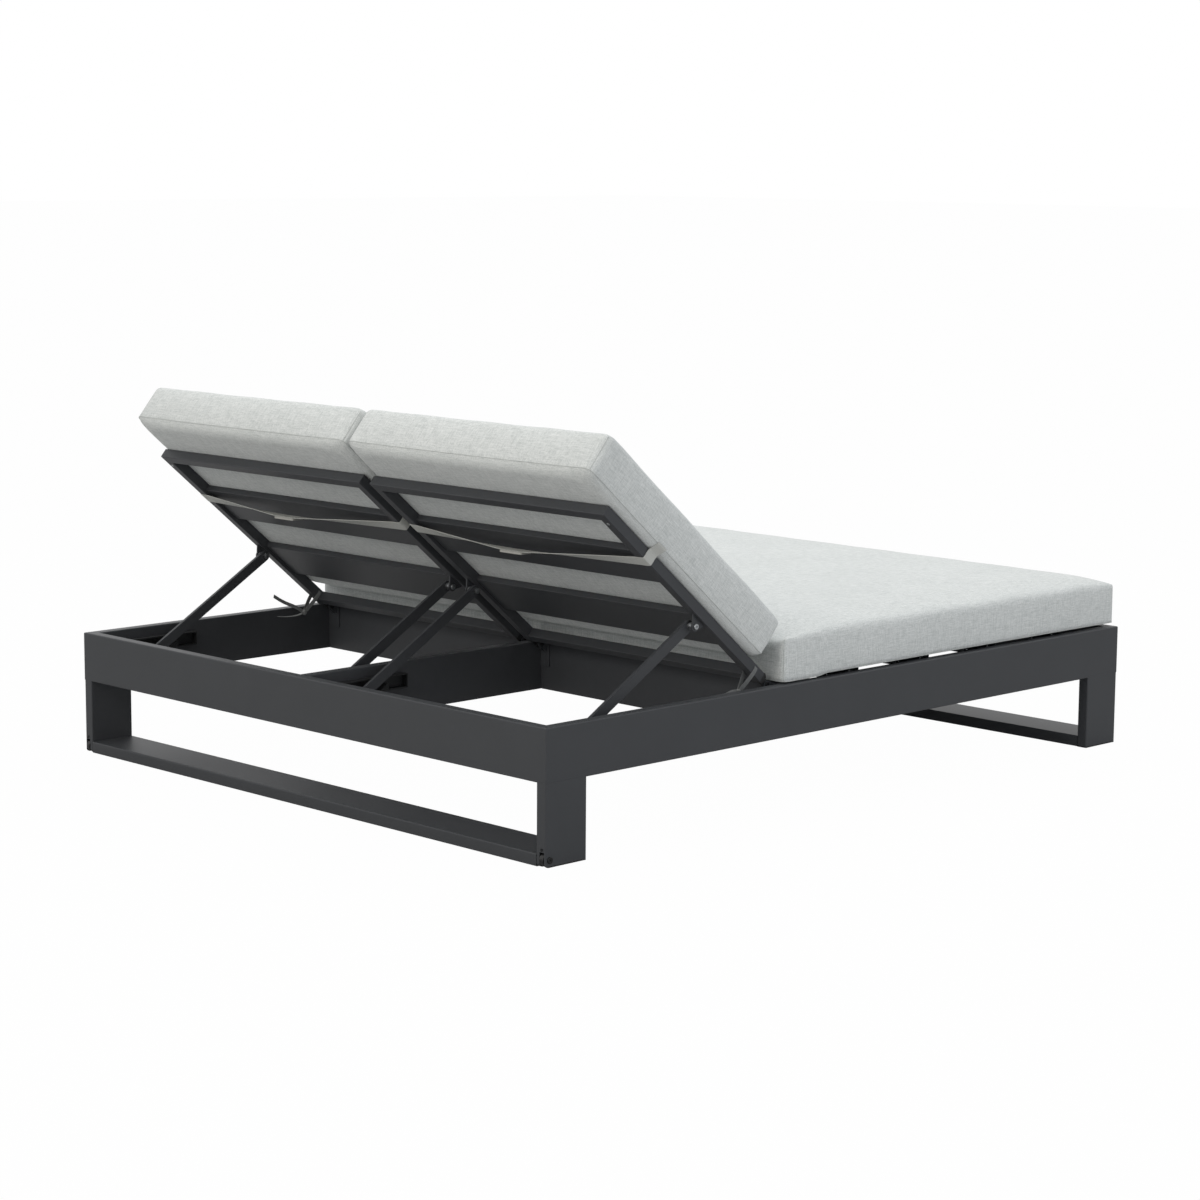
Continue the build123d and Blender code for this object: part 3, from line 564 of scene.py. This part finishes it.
def cushion_form(obj, x_span, y_span, z_span, form):
    """Bend a grid cube to a boxed cushion between three spans, in metres."""
    unit = points_of(obj)
    spread = unit + CLUSTER / pi * np.sin(pi * unit)
    half = np.array([(x_span[1] - x_span[0]) / 2, (y_span[1] - y_span[0]) / 2])
    middle = np.array([(x_span[1] + x_span[0]) / 2, (y_span[1] + y_span[0]) / 2])
    plan = spread[:, :2] * half
    share = plan / half
    depth = half - np.abs(plan)
    plan = plan - np.sign(plan) * round_corner(depth[:, 0], depth[:, 1], form["corner"])
    drawn = form["waist"] * np.abs(share) ** 3 * (1 - share[:, ::-1] ** 2)
    edge = np.abs(unit[:, :2]) > BORDER
    edge[:, 1] &= np.sign(unit[:, 1]) != form["flat_end"]
    fullness = (1 - unit[:, 2] ** 2)[:, None] * (1 - share[:, ::-1] ** 8).clip(0, 1)
    bulge = form["puff"] * fullness * edge
    plan = plan - np.sign(plan) * (drawn - bulge)
    full = ((1 - np.abs(share) ** form["steepness"]).clip(0, 1)).prod(axis=1) ** 0.5
    dome = ((1 - share**2).clip(0, 1)).prod(axis=1)
    ripple = np.sin(plan[:, 0] * RIPPLE_X[0] + RIPPLE_X[1])
    ripple = ripple * np.sin(plan[:, 1] * RIPPLE_Y[0] + RIPPLE_Y[1])
    ear = (share[:, 0] ** EAR_REACH) * (share[:, 1] ** EAR_REACH)
    level_top = z_span[1] + full * form["rise"] + dome * form["swell"]
    level_top = level_top + RIPPLE_HEIGHT * ripple + ear * form["ear"]
    level_low = z_span[0] - full * form["belly"]
    height = (unit[:, 2] + 1) / 2
    z = level_low + (level_top - level_low) * height
    set_points(obj, np.column_stack([plan + middle, z]))
    return unit


# %% [markdown]
# The cloth simulation pushes every face outwards with an even pressure, as foam does,
# while the seams, which are shrunk a little, hold back and pucker the cloth beside them.
# Gravity is off, and how far a point may move is capped, so the cushion keeps its size.

# %% Blow up a cushion
PRESSURE = 4.0
FRAMES = 20
SEAM_SHRINK = 0.012
MOST_MOVED = 4.0 * MM


def seam_rows(unit):
    """Points on the two seam lines round the top and bottom panel."""
    border = (np.abs(unit[:, :2]) > BORDER).any(axis=1)
    return border & (np.abs(unit[:, 2]) > BORDER)


def head_corners(unit):
    """Points on the two upright corner lines at the head end."""
    return (np.abs(unit[:, 0]) > BORDER) & (unit[:, 1] > BORDER)


def blow_up(obj):
    """Run the cloth on the cushion and keep its shape, moved by no more than a cap."""
    before = points_of(obj)
    only(obj)
    modifier = obj.modifiers.new("cloth", "CLOTH")
    settings = modifier.settings
    settings.quality = 6
    settings.mass = 0.3
    settings.tension_stiffness = 25.0
    settings.compression_stiffness = 25.0
    settings.shear_stiffness = 12.0
    settings.bending_stiffness = 1.5
    settings.use_pressure = True
    settings.uniform_pressure_force = PRESSURE
    settings.effector_weights.gravity = 0.0
    settings.vertex_group_shrink = "seam"
    settings.shrink_max = SEAM_SHRINK
    modifier.collision_settings.use_collision = False
    scene = bpy.context.scene
    for step in range(1, FRAMES + 1):
        scene.frame_set(step)
    bpy.ops.object.modifier_apply(modifier=modifier.name)
    scene.frame_set(1)
    moved = points_of(obj) - before
    length = np.linalg.norm(moved, axis=1, keepdims=True)
    kept = MOST_MOVED * np.tanh(length / MOST_MOVED) / np.maximum(length, 1e-9)
    set_points(obj, before + moved * kept)
    print(obj.name, "moved by up to", round(float(length.max()) / MM, 1), "mm before the cap")


# %% [markdown]
# After the simulation the mesh is subdivided once. The lower seam is creased first,
# so it stays a clear line while everything else is soft.

# %% Smooth a cushion and keep its seams


def smooth_with_seams(obj, seam):
    """Subdivide once, with a crease that keeps the lower seam sharp."""
    heights = points_of(obj)[:, 2]
    split = (heights[seam].min() + heights[seam].max()) / 2
    values = []
    for edge in obj.data.edges:
        first, second = edge.vertices
        firm = 0.5 if heights[first] < split else 0.0
        values.append(firm if seam[first] and seam[second] else 0.0)
    crease = obj.data.attributes.new("crease_edge", "FLOAT", "EDGE")
    crease.data.foreach_set("value", values)
    only(obj)
    modifier = obj.modifiers.new("smooth", "SUBSURF")
    modifier.levels = 1
    modifier.render_levels = 1
    bpy.ops.object.modifier_apply(modifier=modifier.name)
    for polygon in obj.data.polygons:
        polygon.use_smooth = True


def mark(obj, name, picked):
    """Name a group of points, so that they can be found again after smoothing."""
    group = obj.vertex_groups.new(name=name)
    group.add([int(index) for index in np.flatnonzero(picked)], 1.0, "REPLACE")


def marked(obj, name):
    """The places of the points in a group."""
    group = obj.vertex_groups[name].index
    found = []
    for vertex in obj.data.vertices:
        weights = [entry.weight for entry in vertex.groups if entry.group == group]
        if weights and weights[0] > 0.99:
            found.append(vertex.index)
    return points_of(obj)[found]


def lower_seam(obj, split_height):
    """The lower seam line as ordered points."""
    places = marked(obj, "seam")
    picked = places[places[:, 2] < split_height]
    middle = (picked.min(axis=0) + picked.max(axis=0)) / 2
    angles = np.arctan2(picked[:, 1] - middle[1], picked[:, 0] - middle[0])
    return picked[np.argsort(angles)]


def corner_lines(obj):
    """The upright seams at the two head corners, each from the low seam to the high one."""
    places = marked(obj, "corner")
    middle = (places[:, 0].min() + places[:, 0].max()) / 2
    lines = [places[places[:, 0] < middle], places[places[:, 0] > middle]]
    return [line[np.argsort(line[:, 2])] for line in lines]


# %% [markdown]
# At each seam the two cloths are turned inwards and sewn, which leaves a narrow raised
# edge. It is a thin round welt laid on the seam line and joined to the cushion's mesh.

# %% Sewn edges
WELT = 0.9 * MM
STITCH = 0.7 * MM


def welt_along(points, closed, radius, name):
    """A thin tube through a row of points, as a mesh."""
    curve = bpy.data.curves.new(name, "CURVE")
    curve.dimensions = "3D"
    curve.bevel_depth = radius
    curve.bevel_resolution = 2
    spline = curve.splines.new("POLY")
    spline.points.add(len(points) - 1)
    spline.points.foreach_set("co", np.column_stack([points, np.ones(len(points))]).ravel())
    spline.use_cyclic_u = closed
    tube = bpy.data.objects.new(name, curve)
    bpy.context.scene.collection.objects.link(tube)
    only(tube)
    bpy.ops.object.convert(target="MESH")
    for polygon in tube.data.polygons:
        polygon.use_smooth = True
    return bpy.context.object


def seam_lines(obj, split_height, name):
    """The lower seam and the upright corner seams of a cushion, as thin raised lines."""
    lines = [welt_along(lower_seam(obj, split_height), True, WELT, name + "_low")]
    for number, corner in enumerate(corner_lines(obj)):
        lines.append(welt_along(corner, False, STITCH, f"{name}_corner_{number}"))
    for line in lines:
        finish_with(line, seam_cloth)
    return lines


def join_all(main, others):
    only(main)
    for other in others:
        other.select_set(True)
    bpy.ops.object.join()
    return main


# %% [markdown]
# The seat cushion is one wide pad over both places. It lies flat on the slats, its foot
# end just past the frame, and its head end under the lower edge of the back cushions.

# %% Seat cushion
SEAT_X = (-825.0 * MM, 825.0 * MM)
SEAT_Y = (-1002.5 * MM, 252.0 * MM)
SEAT_Z = (311.0 * MM, 404.0 * MM)
SEAT_FORM = {
    "rise": 24.0 * MM,
    "swell": 6.0 * MM,
    "belly": 0.3 * MM,
    "waist": 3.0 * MM,
    "puff": 3.0 * MM,
    "ear": 4.0 * MM,
    "corner": 12.0 * MM,
    "steepness": 14,
    "flat_end": 1,
}
SLAT_END = 806.0 * MM
LAST_SLAT = 98.0 * MM
DECK = 310.3 * MM
SAGGED = 303.8 * MM
CROWN_END = 150.0 * MM
SLAT_EASE = (2.0 * MM, 24.0 * MM)
SIDE_EASE = 12.0 * MM
HEAD_SAG = 7.0 * MM
SIDE_SAG = 2.5 * MM
HEAD_EASE = 62.0 * MM
HEAD_DROP = 7.0 * MM
CORNER_LIFT = 14.0 * MM
EDGE_BAND = 24.0 * MM
EDGE_BACK = 7.0 * MM
EDGE_DOWN = 4.0 * MM


def settle_seat(places, unit):
    """Let the head end of the seat cushion hang past the slats, and ease its upper edge."""
    x, y, z = places.T
    pressed = SEAT_Z[1] + (z - SEAT_Z[1]) * smooth_step((SEAT_Y[1] - y) / CROWN_END)
    z = np.where(z > SEAT_Z[1], pressed, z)
    past = smooth_step((y - LAST_SLAT - SLAT_EASE[0]) / SLAT_EASE[1])
    beside = smooth_step((np.abs(x) - SLAT_END) / SIDE_EASE)
    sag = np.maximum(HEAD_SAG * past, SIDE_SAG * beside)
    height = (unit[:, 2] + 1) / 2
    z = z - sag * (1 - height) ** 2
    corner = (np.abs(x) / SEAT_X[1]) ** EAR_REACH
    near_head = smooth_step((y - SEAT_Y[1] + HEAD_EASE) / HEAD_EASE)
    z = z - (HEAD_DROP - CORNER_LIFT * corner) * near_head * height**2
    at_edge = smooth_step((y - SEAT_Y[1] + EDGE_BAND) / EDGE_BAND)
    edge = at_edge * (height > 0.99) * (1 - corner)
    return np.column_stack([x, y - EDGE_BACK * edge, z - EDGE_DOWN * edge])


def on_deck(places):
    """Keep the cushion above the slats, and above the rails where it hangs past them."""
    over_slats = (np.abs(places[:, 0]) < SLAT_END) & (places[:, 1] < LAST_SLAT)
    floor_height = np.where(over_slats, DECK, SAGGED)
    return np.column_stack([places[:, :2], np.maximum(places[:, 2], floor_height)])


seat = grid_cube("seat_cushion_cover", (84, 64, 5))
seat_unit = cushion_form(seat, SEAT_X, SEAT_Y, SEAT_Z, SEAT_FORM)
seat_seam = seam_rows(seat_unit)
mark(seat, "seam", seat_seam)
mark(seat, "corner", head_corners(seat_unit))
blow_up(seat)
set_points(seat, settle_seat(points_of(seat), seat_unit))
smooth_with_seams(seat, seat_seam)
set_points(seat, on_deck(points_of(seat)))
print("seat cushion faces:", len(seat.data.polygons))

# %% [markdown]
# The head end of the seat cover has a zip under a narrow flap, seen as two fine lines.

# %% Seams and zip flap of the seat cushion
FLAP_HEIGHTS = (364.0 * MM, 348.0 * MM)
FLAP_END = 795.0 * MM
FLAP_POINTS = 40
FLAP_OUT = 0.4 * MM
seat_lines = seam_lines(seat, sum(SEAT_Z) / 2, "seat_seam")
for number, height in enumerate(FLAP_HEIGHTS):
    flap = np.empty((FLAP_POINTS, 3))
    flap[:, 0] = np.linspace(-FLAP_END, FLAP_END, FLAP_POINTS)
    flap[:, 1] = SEAT_Y[1] + FLAP_OUT
    flap[:, 2] = height
    line = welt_along(flap, False, STITCH, f"seat_flap_{number}")
    finish_with(line, seam_cloth)
    seat_lines.append(line)
seat.data.materials.append(seat_cloth)
join_all(seat, seat_lines)
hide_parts("seat_cushion")
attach(seat, "frame")

# %% [markdown]
# Each backrest has its own pad. It lies on the tubes and slats of the panel,
# where its under side is pressed flat, and its boxing stands free round the edge.
# At its lower end the under edge is worn round.

# %% Back cushions
BACK_X = (2.4 * MM, 812.0 * MM)
BACK_Y = (69.5 * MM, 795.0 * MM)
BACK_Z = (PANEL_FACE + 16.5 * MM, PANEL_FACE + 106.5 * MM)
BACK_FORM = {
    "rise": 14.0 * MM,
    "swell": 7.0 * MM,
    "belly": 21.0 * MM,
    "waist": 2.0 * MM,
    "puff": 6.0 * MM,
    "ear": 0.0,
    "corner": 20.0 * MM,
    "steepness": 12,
    "flat_end": -1,
}
FOOT_ROUND = 26.0 * MM
PANEL_CLEAR = 0.4 * MM
CENTRE_CLEAR = 0.8 * MM


def rest_on_panel(places):
    """Round the lower edge of a back cushion and press its under side flat on the panel."""
    inward = places[:, 1] - BACK_Y[0]
    upward = places[:, 2] - BACK_Z[0]
    shift = round_corner(inward, upward, FOOT_ROUND)
    y = places[:, 1] + shift[:, 0]
    z = np.maximum(places[:, 2] + shift[:, 1], PANEL_FACE + PANEL_CLEAR)
    return np.column_stack([np.maximum(places[:, 0], CENTRE_CLEAR), y, z])


def back_pad(name, side):
    """The cushion of one backrest, modelled flat and turned into place."""
    pad = grid_cube(name, (52, 46, 5))
    unit = cushion_form(pad, BACK_X, BACK_Y, BACK_Z, BACK_FORM)
    seam = seam_rows(unit)
    mark(pad, "seam", seam)
    mark(pad, "corner", head_corners(unit))
    blow_up(pad)
    set_points(pad, rest_on_panel(points_of(pad)))
    smooth_with_seams(pad, seam)
    places = points_of(pad)
    places[:, 2] = np.maximum(places[:, 2], PANEL_FACE + PANEL_CLEAR)
    set_points(pad, places)
    lines = seam_lines(pad, sum(BACK_Z) / 2, name + "_seam")
    pad.data.materials.append(back_cloth)
    join_all(pad, lines)
    if side < 0:
        mirrored = points_of(pad) * np.array([-1.0, 1.0, 1.0])
        set_points(pad, mirrored)
        pad.data.flip_normals()
    set_on_backrest(pad)
    return pad


for side_name, side in SIDES.items():
    pad = back_pad("back_cushion_cover_" + side_name, side)
    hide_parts("back_cushion_" + side_name)
    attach(pad, "backrest_" + side_name)
    print(pad.name, "faces:", len(pad.data.polygons))

# %% [markdown]
# A webbing strap holds each back cushion to its panel. It leaves the seam of the boxing,
# turns round the outer side tube, crosses under the panel and comes up on the other side.
# It is a flat band, so it is pulled out of one edge, step by step, along its route.

# %% Flat bands
SOFTENED_TIMES = 2


def softened(route):
    """Cut the corners of a route a few times, so that the band bends softly."""
    points = [Vector(point) for point in route]
    for _ in range(SOFTENED_TIMES):
        softer = [points[0]]
        for start, end in zip(points, points[1:]):
            softer += [start.lerp(end, 0.25), start.lerp(end, 0.75)]
        points = softer + [points[-1]]
    return points


def band_along(name, route, width, thickness, across, turns=None):
    """Extrude an edge along a route, turn it where it twists, and give it its thickness."""
    bpy.ops.object.select_all(action="DESELECT")
    bpy.ops.mesh.primitive_plane_add(size=1.0, location=(0, 0, 0))
    band = bpy.context.object
    band.name = name
    mesh = band.data
    start, second = route[0], route[1]
    edge = [start - across * width / 2, start + across * width / 2]
    later = [second + across * width / 2, second - across * width / 2]
    for vertex, place in zip(mesh.vertices, (edge[0], edge[1], later[1], later[0])):
        vertex.co = place
    mesh.update()
    bpy.ops.object.mode_set(mode="EDIT")
    bpy.ops.mesh.select_mode(type="EDGE")
    bpy.ops.mesh.select_all(action="DESELECT")
    bpy.ops.object.mode_set(mode="OBJECT")
    for line in mesh.edges:
        ends = [mesh.vertices[index].co for index in line.vertices]
        line.select = all(min((end - place).length for place in later) < 1e-6 for end in ends)
    bpy.ops.object.mode_set(mode="EDIT")
    for before, after in zip(route[1:], route[2:]):
        step = after - before
        bpy.ops.mesh.extrude_region_move(TRANSFORM_OT_translate={"value": step})
    bpy.ops.object.mode_set(mode="OBJECT")
    lengths = [0.0]
    for before, after in zip(route, route[1:]):
        lengths.append(lengths[-1] + (after - before).length)
    uv = mesh.uv_layers.new(name="band")
    for loop in mesh.loops:
        step = loop.vertex_index // 2
        place = mesh.vertices[loop.vertex_index].co
        uv.data[loop.index].uv = (lengths[step], (place - route[step]).dot(across))
    for vertex in mesh.vertices:
        step = vertex.index // 2
        turned = Matrix.Rotation(turns[step] if turns else 0.0, 3, "X") @ (vertex.co - route[step])
        vertex.co = route[step] + turned
    modifier = band.modifiers.new("thickness", "SOLIDIFY")
    modifier.thickness = thickness
    modifier.offset = 0.0
    apply_modifiers(band)
    for polygon in mesh.polygons:
        polygon.use_smooth = False
    return band


# %% Straps of the back cushions
STRAP_WIDTH = 30.0 * MM
STRAP_THICKNESS = 1.2 * MM
STRAP_MIDDLE = 506.0 * MM
TUBE_OUT = 789.5
TUBE_IN = 18.0
TUBE = 25.0
SLACK = 1.2
STRAP_HEIGHT = -13.5
STRAP_SAG = 16.0
SLIDER_HALF = 36.0
SLIDERS = {"left": 372.0, "right": 448.0}


def sag_share(x, slider):
    """How far the strap has sagged and turned at x: none at the tubes, all at the slider."""
    inner, outer = TUBE_IN + TUBE, TUBE_OUT - TUBE
    rising = (x - inner) / (slider - SLIDER_HALF - inner)
    falling = (outer - x) / (outer - slider - SLIDER_HALF)
    return float(np.clip(min(rising, falling), 0.0, 1.0))


def strap_route(slider):
    """The strap's middle line across the right panel, in the flat panel's own place."""
    out, inner = TUBE_OUT + SLACK, TUBE_IN - SLACK
    first, last = TUBE_OUT - TUBE, TUBE_IN + TUBE
    hanging = list(np.linspace(first, slider + SLIDER_HALF, 5))
    hanging += list(np.linspace(slider - SLIDER_HALF, last, 5))
    route = [
        (808.6, 32.0),
        (807.4, 26.5),
        (799.0, 19.0),
        (out, 9.5),
        (out, -10.5),
        (out - 3.0, STRAP_HEIGHT),
    ]
    route += [(x, STRAP_HEIGHT) for x in hanging]
    route += [
        (inner + 3.0, STRAP_HEIGHT),
        (inner, -10.5),
        (inner, 9.5),
        (11.0, 20.0),
        (6.4, 26.5),
        (5.6, 32.0),
    ]
    return softened([(x * MM, STRAP_MIDDLE, z * MM) for x, z in route])


for side_name, side in SIDES.items():
    slider = SLIDERS[side_name]
    line = strap_route(slider)
    shares = [sag_share(point.x / MM, slider) for point in line]
    fall = Vector((0.0, -sin(REST_ANGLE), -cos(REST_ANGLE))) * STRAP_SAG * MM
    line = [point + fall * share for point, share in zip(line, shares)]
    strap = band_along(
        "cushion_strap_" + side_name,
        line,
        STRAP_WIDTH,
        STRAP_THICKNESS,
        Vector((0, 1, 0)),
        [-REST_ANGLE * share for share in shares],
    )
    if side < 0:
        set_points(strap, points_of(strap) * np.array([-1.0, 1.0, 1.0]))
        strap.data.flip_normals()
    strap.data.materials.append(strap_cloth)
    set_on_backrest(strap)
    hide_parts("back_strap_" + side_name)
    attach(strap, "backrest_" + side_name)
    print(strap.name, "faces:", len(strap.data.polygons))

# %% [markdown]
# One bright rivet head shows under each outer side tube, near its mitred corner.

# %% Rivets of the backrests
RIVET_RADIUS = 4.0 * MM
RIVET_FLATNESS = 0.4
RIVET_X = 777.0 * MM
RIVET_REACH = 644.0 * MM
RIVET_HEIGHT = -12.6 * MM

for side_name, side in SIDES.items():
    bpy.ops.object.select_all(action="DESELECT")
    bpy.ops.mesh.primitive_uv_sphere_add(segments=20, ring_count=10, radius=RIVET_RADIUS)
    rivet = bpy.context.object
    rivet.name = "panel_rivet_" + side_name
    bpy.ops.transform.resize(value=(1.0, 1.0, RIVET_FLATNESS))
    bpy.ops.object.transform_apply(location=True, rotation=True, scale=True)
    rivet.data.transform(Matrix.Translation((side * RIVET_X, RIVET_REACH, RIVET_HEIGHT)))
    for polygon in rivet.data.polygons:
        polygon.use_smooth = True
    rivet.data.materials.append(zinc)
    set_on_backrest(rivet)
    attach(rivet, "backrest_" + side_name)
print("rivets: 2")

# %% [markdown]
# At its lower end each cushion is tied to the outer side tube with a narrow tape. The tape
# goes round the tube, is knotted under it, and its loose ends hang and curl a little. The
# ends of the left tape are shorter and hang steeper.

# %% Tie tapes
TAPE_WIDTH = 11.0 * MM
TAPE_THICKNESS = 1.0 * MM
TAPE_REACH = 60.5 * MM
TAPE_X = 777.0 * MM
KNOT_SIZE = 13.0 * MM
KNOT_ROUND = 4.5 * MM
KNOT_HEIGHT = -62.0
LOOP_HALF = 13.4
LOOP_LOW = -16.0
LOOP_END = (1.5, -60.0)
TAILS = {
    "left": (
        [(0, KNOT_HEIGHT), (12, -68), (24, -80), (34, -96)],
        [(0, KNOT_HEIGHT), (6, -80), (12, -100), (16, -118)],
    ),
    "right": (
        [(0, KNOT_HEIGHT), (30, -66), (72, -80), (110, -86)],
        [(0, KNOT_HEIGHT), (14, -82), (40, -104), (64, -119)],
    ),
}


def tape_loop(x):
    """The loop round a side tube, down to its knot."""
    half = [(LOOP_HALF, LOOP_HALF), (LOOP_HALF, LOOP_LOW), LOOP_END]
    route = [(-across, height) for across, height in reversed(half)] + half
    return softened([(x + across * MM, TAPE_REACH, height * MM) for across, height in route])


def tape_tail(x, points):
    """A loose end, from the knot, by its reach and its height."""
    return softened([(x, TAPE_REACH + reach * MM, height * MM) for reach, height in points])


for side_name, side in SIDES.items():
    x = side * TAPE_X
    sizes = (TAPE_WIDTH, TAPE_THICKNESS)
    loop = band_along("loop_" + side_name, tape_loop(x), *sizes, Vector((0, 1, 0)))
    upper_route, lower_route = [tape_tail(x, points) for points in TAILS[side_name]]
    upper = band_along("upper_" + side_name, upper_route, *sizes, Vector((0.5, 0.0, 0.866)))
    lower = band_along("lower_" + side_name, lower_route, *sizes, Vector((1, 0, 0)))
    bpy.ops.object.select_all(action="DESELECT")
    bpy.ops.mesh.primitive_cube_add(size=KNOT_SIZE, location=(x, TAPE_REACH, KNOT_HEIGHT * MM))
    knot = bpy.context.object
    bpy.ops.object.transform_apply(location=True, rotation=True, scale=True)
    bevel = knot.modifiers.new("round", "BEVEL")
    bevel.width = KNOT_ROUND
    bevel.segments = 3
    apply_modifiers(knot)
    knot.data.uv_layers[0].name = "band"
    tape = join_all(loop, [upper, lower, knot])
    tape.name = "cushion_tape_" + side_name
    # The tape's dark finish is painted shade, not its own colour.
    finish_with(tape, tape_cloth_painted_shade)
    set_on_backrest(tape)
    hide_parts("tie_tape_" + side_name)
    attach(tape, "backrest_" + side_name)
    print(tape.name, "faces:", len(tape.data.polygons))

# %% [markdown]
# The lounger stands in a plain white studio. The floor and the world look white to the
# camera, while the floor sends back only half of the light and takes a faint shadow.

# %% Floor and world
bpy.ops.object.select_all(action="DESELECT")
bpy.ops.mesh.primitive_plane_add(size=120.0, location=(0, 0, 0))
floor = bpy.context.object
floor.name = "studio_floor"
floor_paint, tree = new_material("studio_white")
rays = add_node(tree, "ShaderNodeLightPath")
part_seen = add_node(
    tree, "ShaderNodeMath", {"operation": "MULTIPLY", 1: 0.985}, {0: rays.outputs[0]}
)
matt = add_node(tree, "ShaderNodeBsdfDiffuse", {"Color": (0.5, 0.5, 0.5, 1.0)})
white = add_node(tree, "ShaderNodeEmission", {"Color": (1.0, 1.0, 1.0, 1.0), "Strength": 1.0})
mixed = add_node(
    tree,
    "ShaderNodeMixShader",
    {},
    {0: part_seen.outputs[0], 1: matt.outputs[0], 2: white.outputs[0]},
)
add_node(tree, "ShaderNodeOutputMaterial", {}, {"Surface": mixed.outputs[0]})
floor.data.materials.append(floor_paint)
floor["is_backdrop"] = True

world = bpy.data.worlds.new("studio")
world.use_nodes = True
tree = world.node_tree
tree.nodes.clear()
rays = add_node(tree, "ShaderNodeLightPath")
seen = add_node(
    tree, "ShaderNodeMath", {"operation": "MAXIMUM"}, {0: rays.outputs[0], 1: rays.outputs[3]}
)
level_of_light = add_node(
    tree, "ShaderNodeMapRange", {"To Min": 0.72, "To Max": 1.0}, {"Value": seen.outputs[0]}
)
sky = add_node(
    tree,
    "ShaderNodeBackground",
    {"Color": (1.0, 1.0, 1.0, 1.0)},
    {"Strength": level_of_light.outputs[0]},
)
add_node(tree, "ShaderNodeOutputWorld", {}, {"Surface": sky.outputs[0]})
bpy.context.scene.world = world
bpy.context.scene.view_settings.view_transform = "Standard"

# %% [markdown]
# One wide lamp hangs over the foot end, as the bright seat in the photograph shows.
# A second one lights the head end, and a weak one fills the long side.

# %% Studio lamps


def soft_lamp(name, place, target, size, power, colour):
    lamp = bpy.data.lights.new(name, "AREA")
    lamp.shape = "SQUARE"
    lamp.size = size
    lamp.energy = power
    lamp.color = linear(colour)[:3]
    obj = bpy.data.objects.new(name, lamp)
    aim = (Vector(target) - Vector(place)).to_track_quat("-Z", "Y")
    obj.matrix_world = Matrix.Translation(place) @ aim.to_matrix().to_4x4()
    bpy.context.scene.collection.objects.link(obj)
    return obj


soft_lamp("top_lamp", (0.5, -0.8, 4.0), (0.0, -0.2, 0.3), 3.5, 70.0, "#FFFFFF")
soft_lamp("head_lamp", (-0.6, 4.8, 3.0), (0.0, 0.6, 0.6), 2.2, 64.0, "#FFF8EE")
soft_lamp("side_lamp", (-4.5, 0.0, 1.6), (0.0, 0.0, 0.3), 2.2, 19.0, "#F0F5FF")

# %% [markdown]
# Last, the size of the whole model is kept beside the CAD model's size for comparison.

# %% Sizes and finish
picture_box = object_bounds()


def as_numbers(value):
    """Nested vectors as plain lists."""
    if hasattr(value, "__len__"):
        return [as_numbers(entry) for entry in value]
    return float(value)


{"cad": as_numbers(cad_box), "visual": as_numbers(picture_box)}
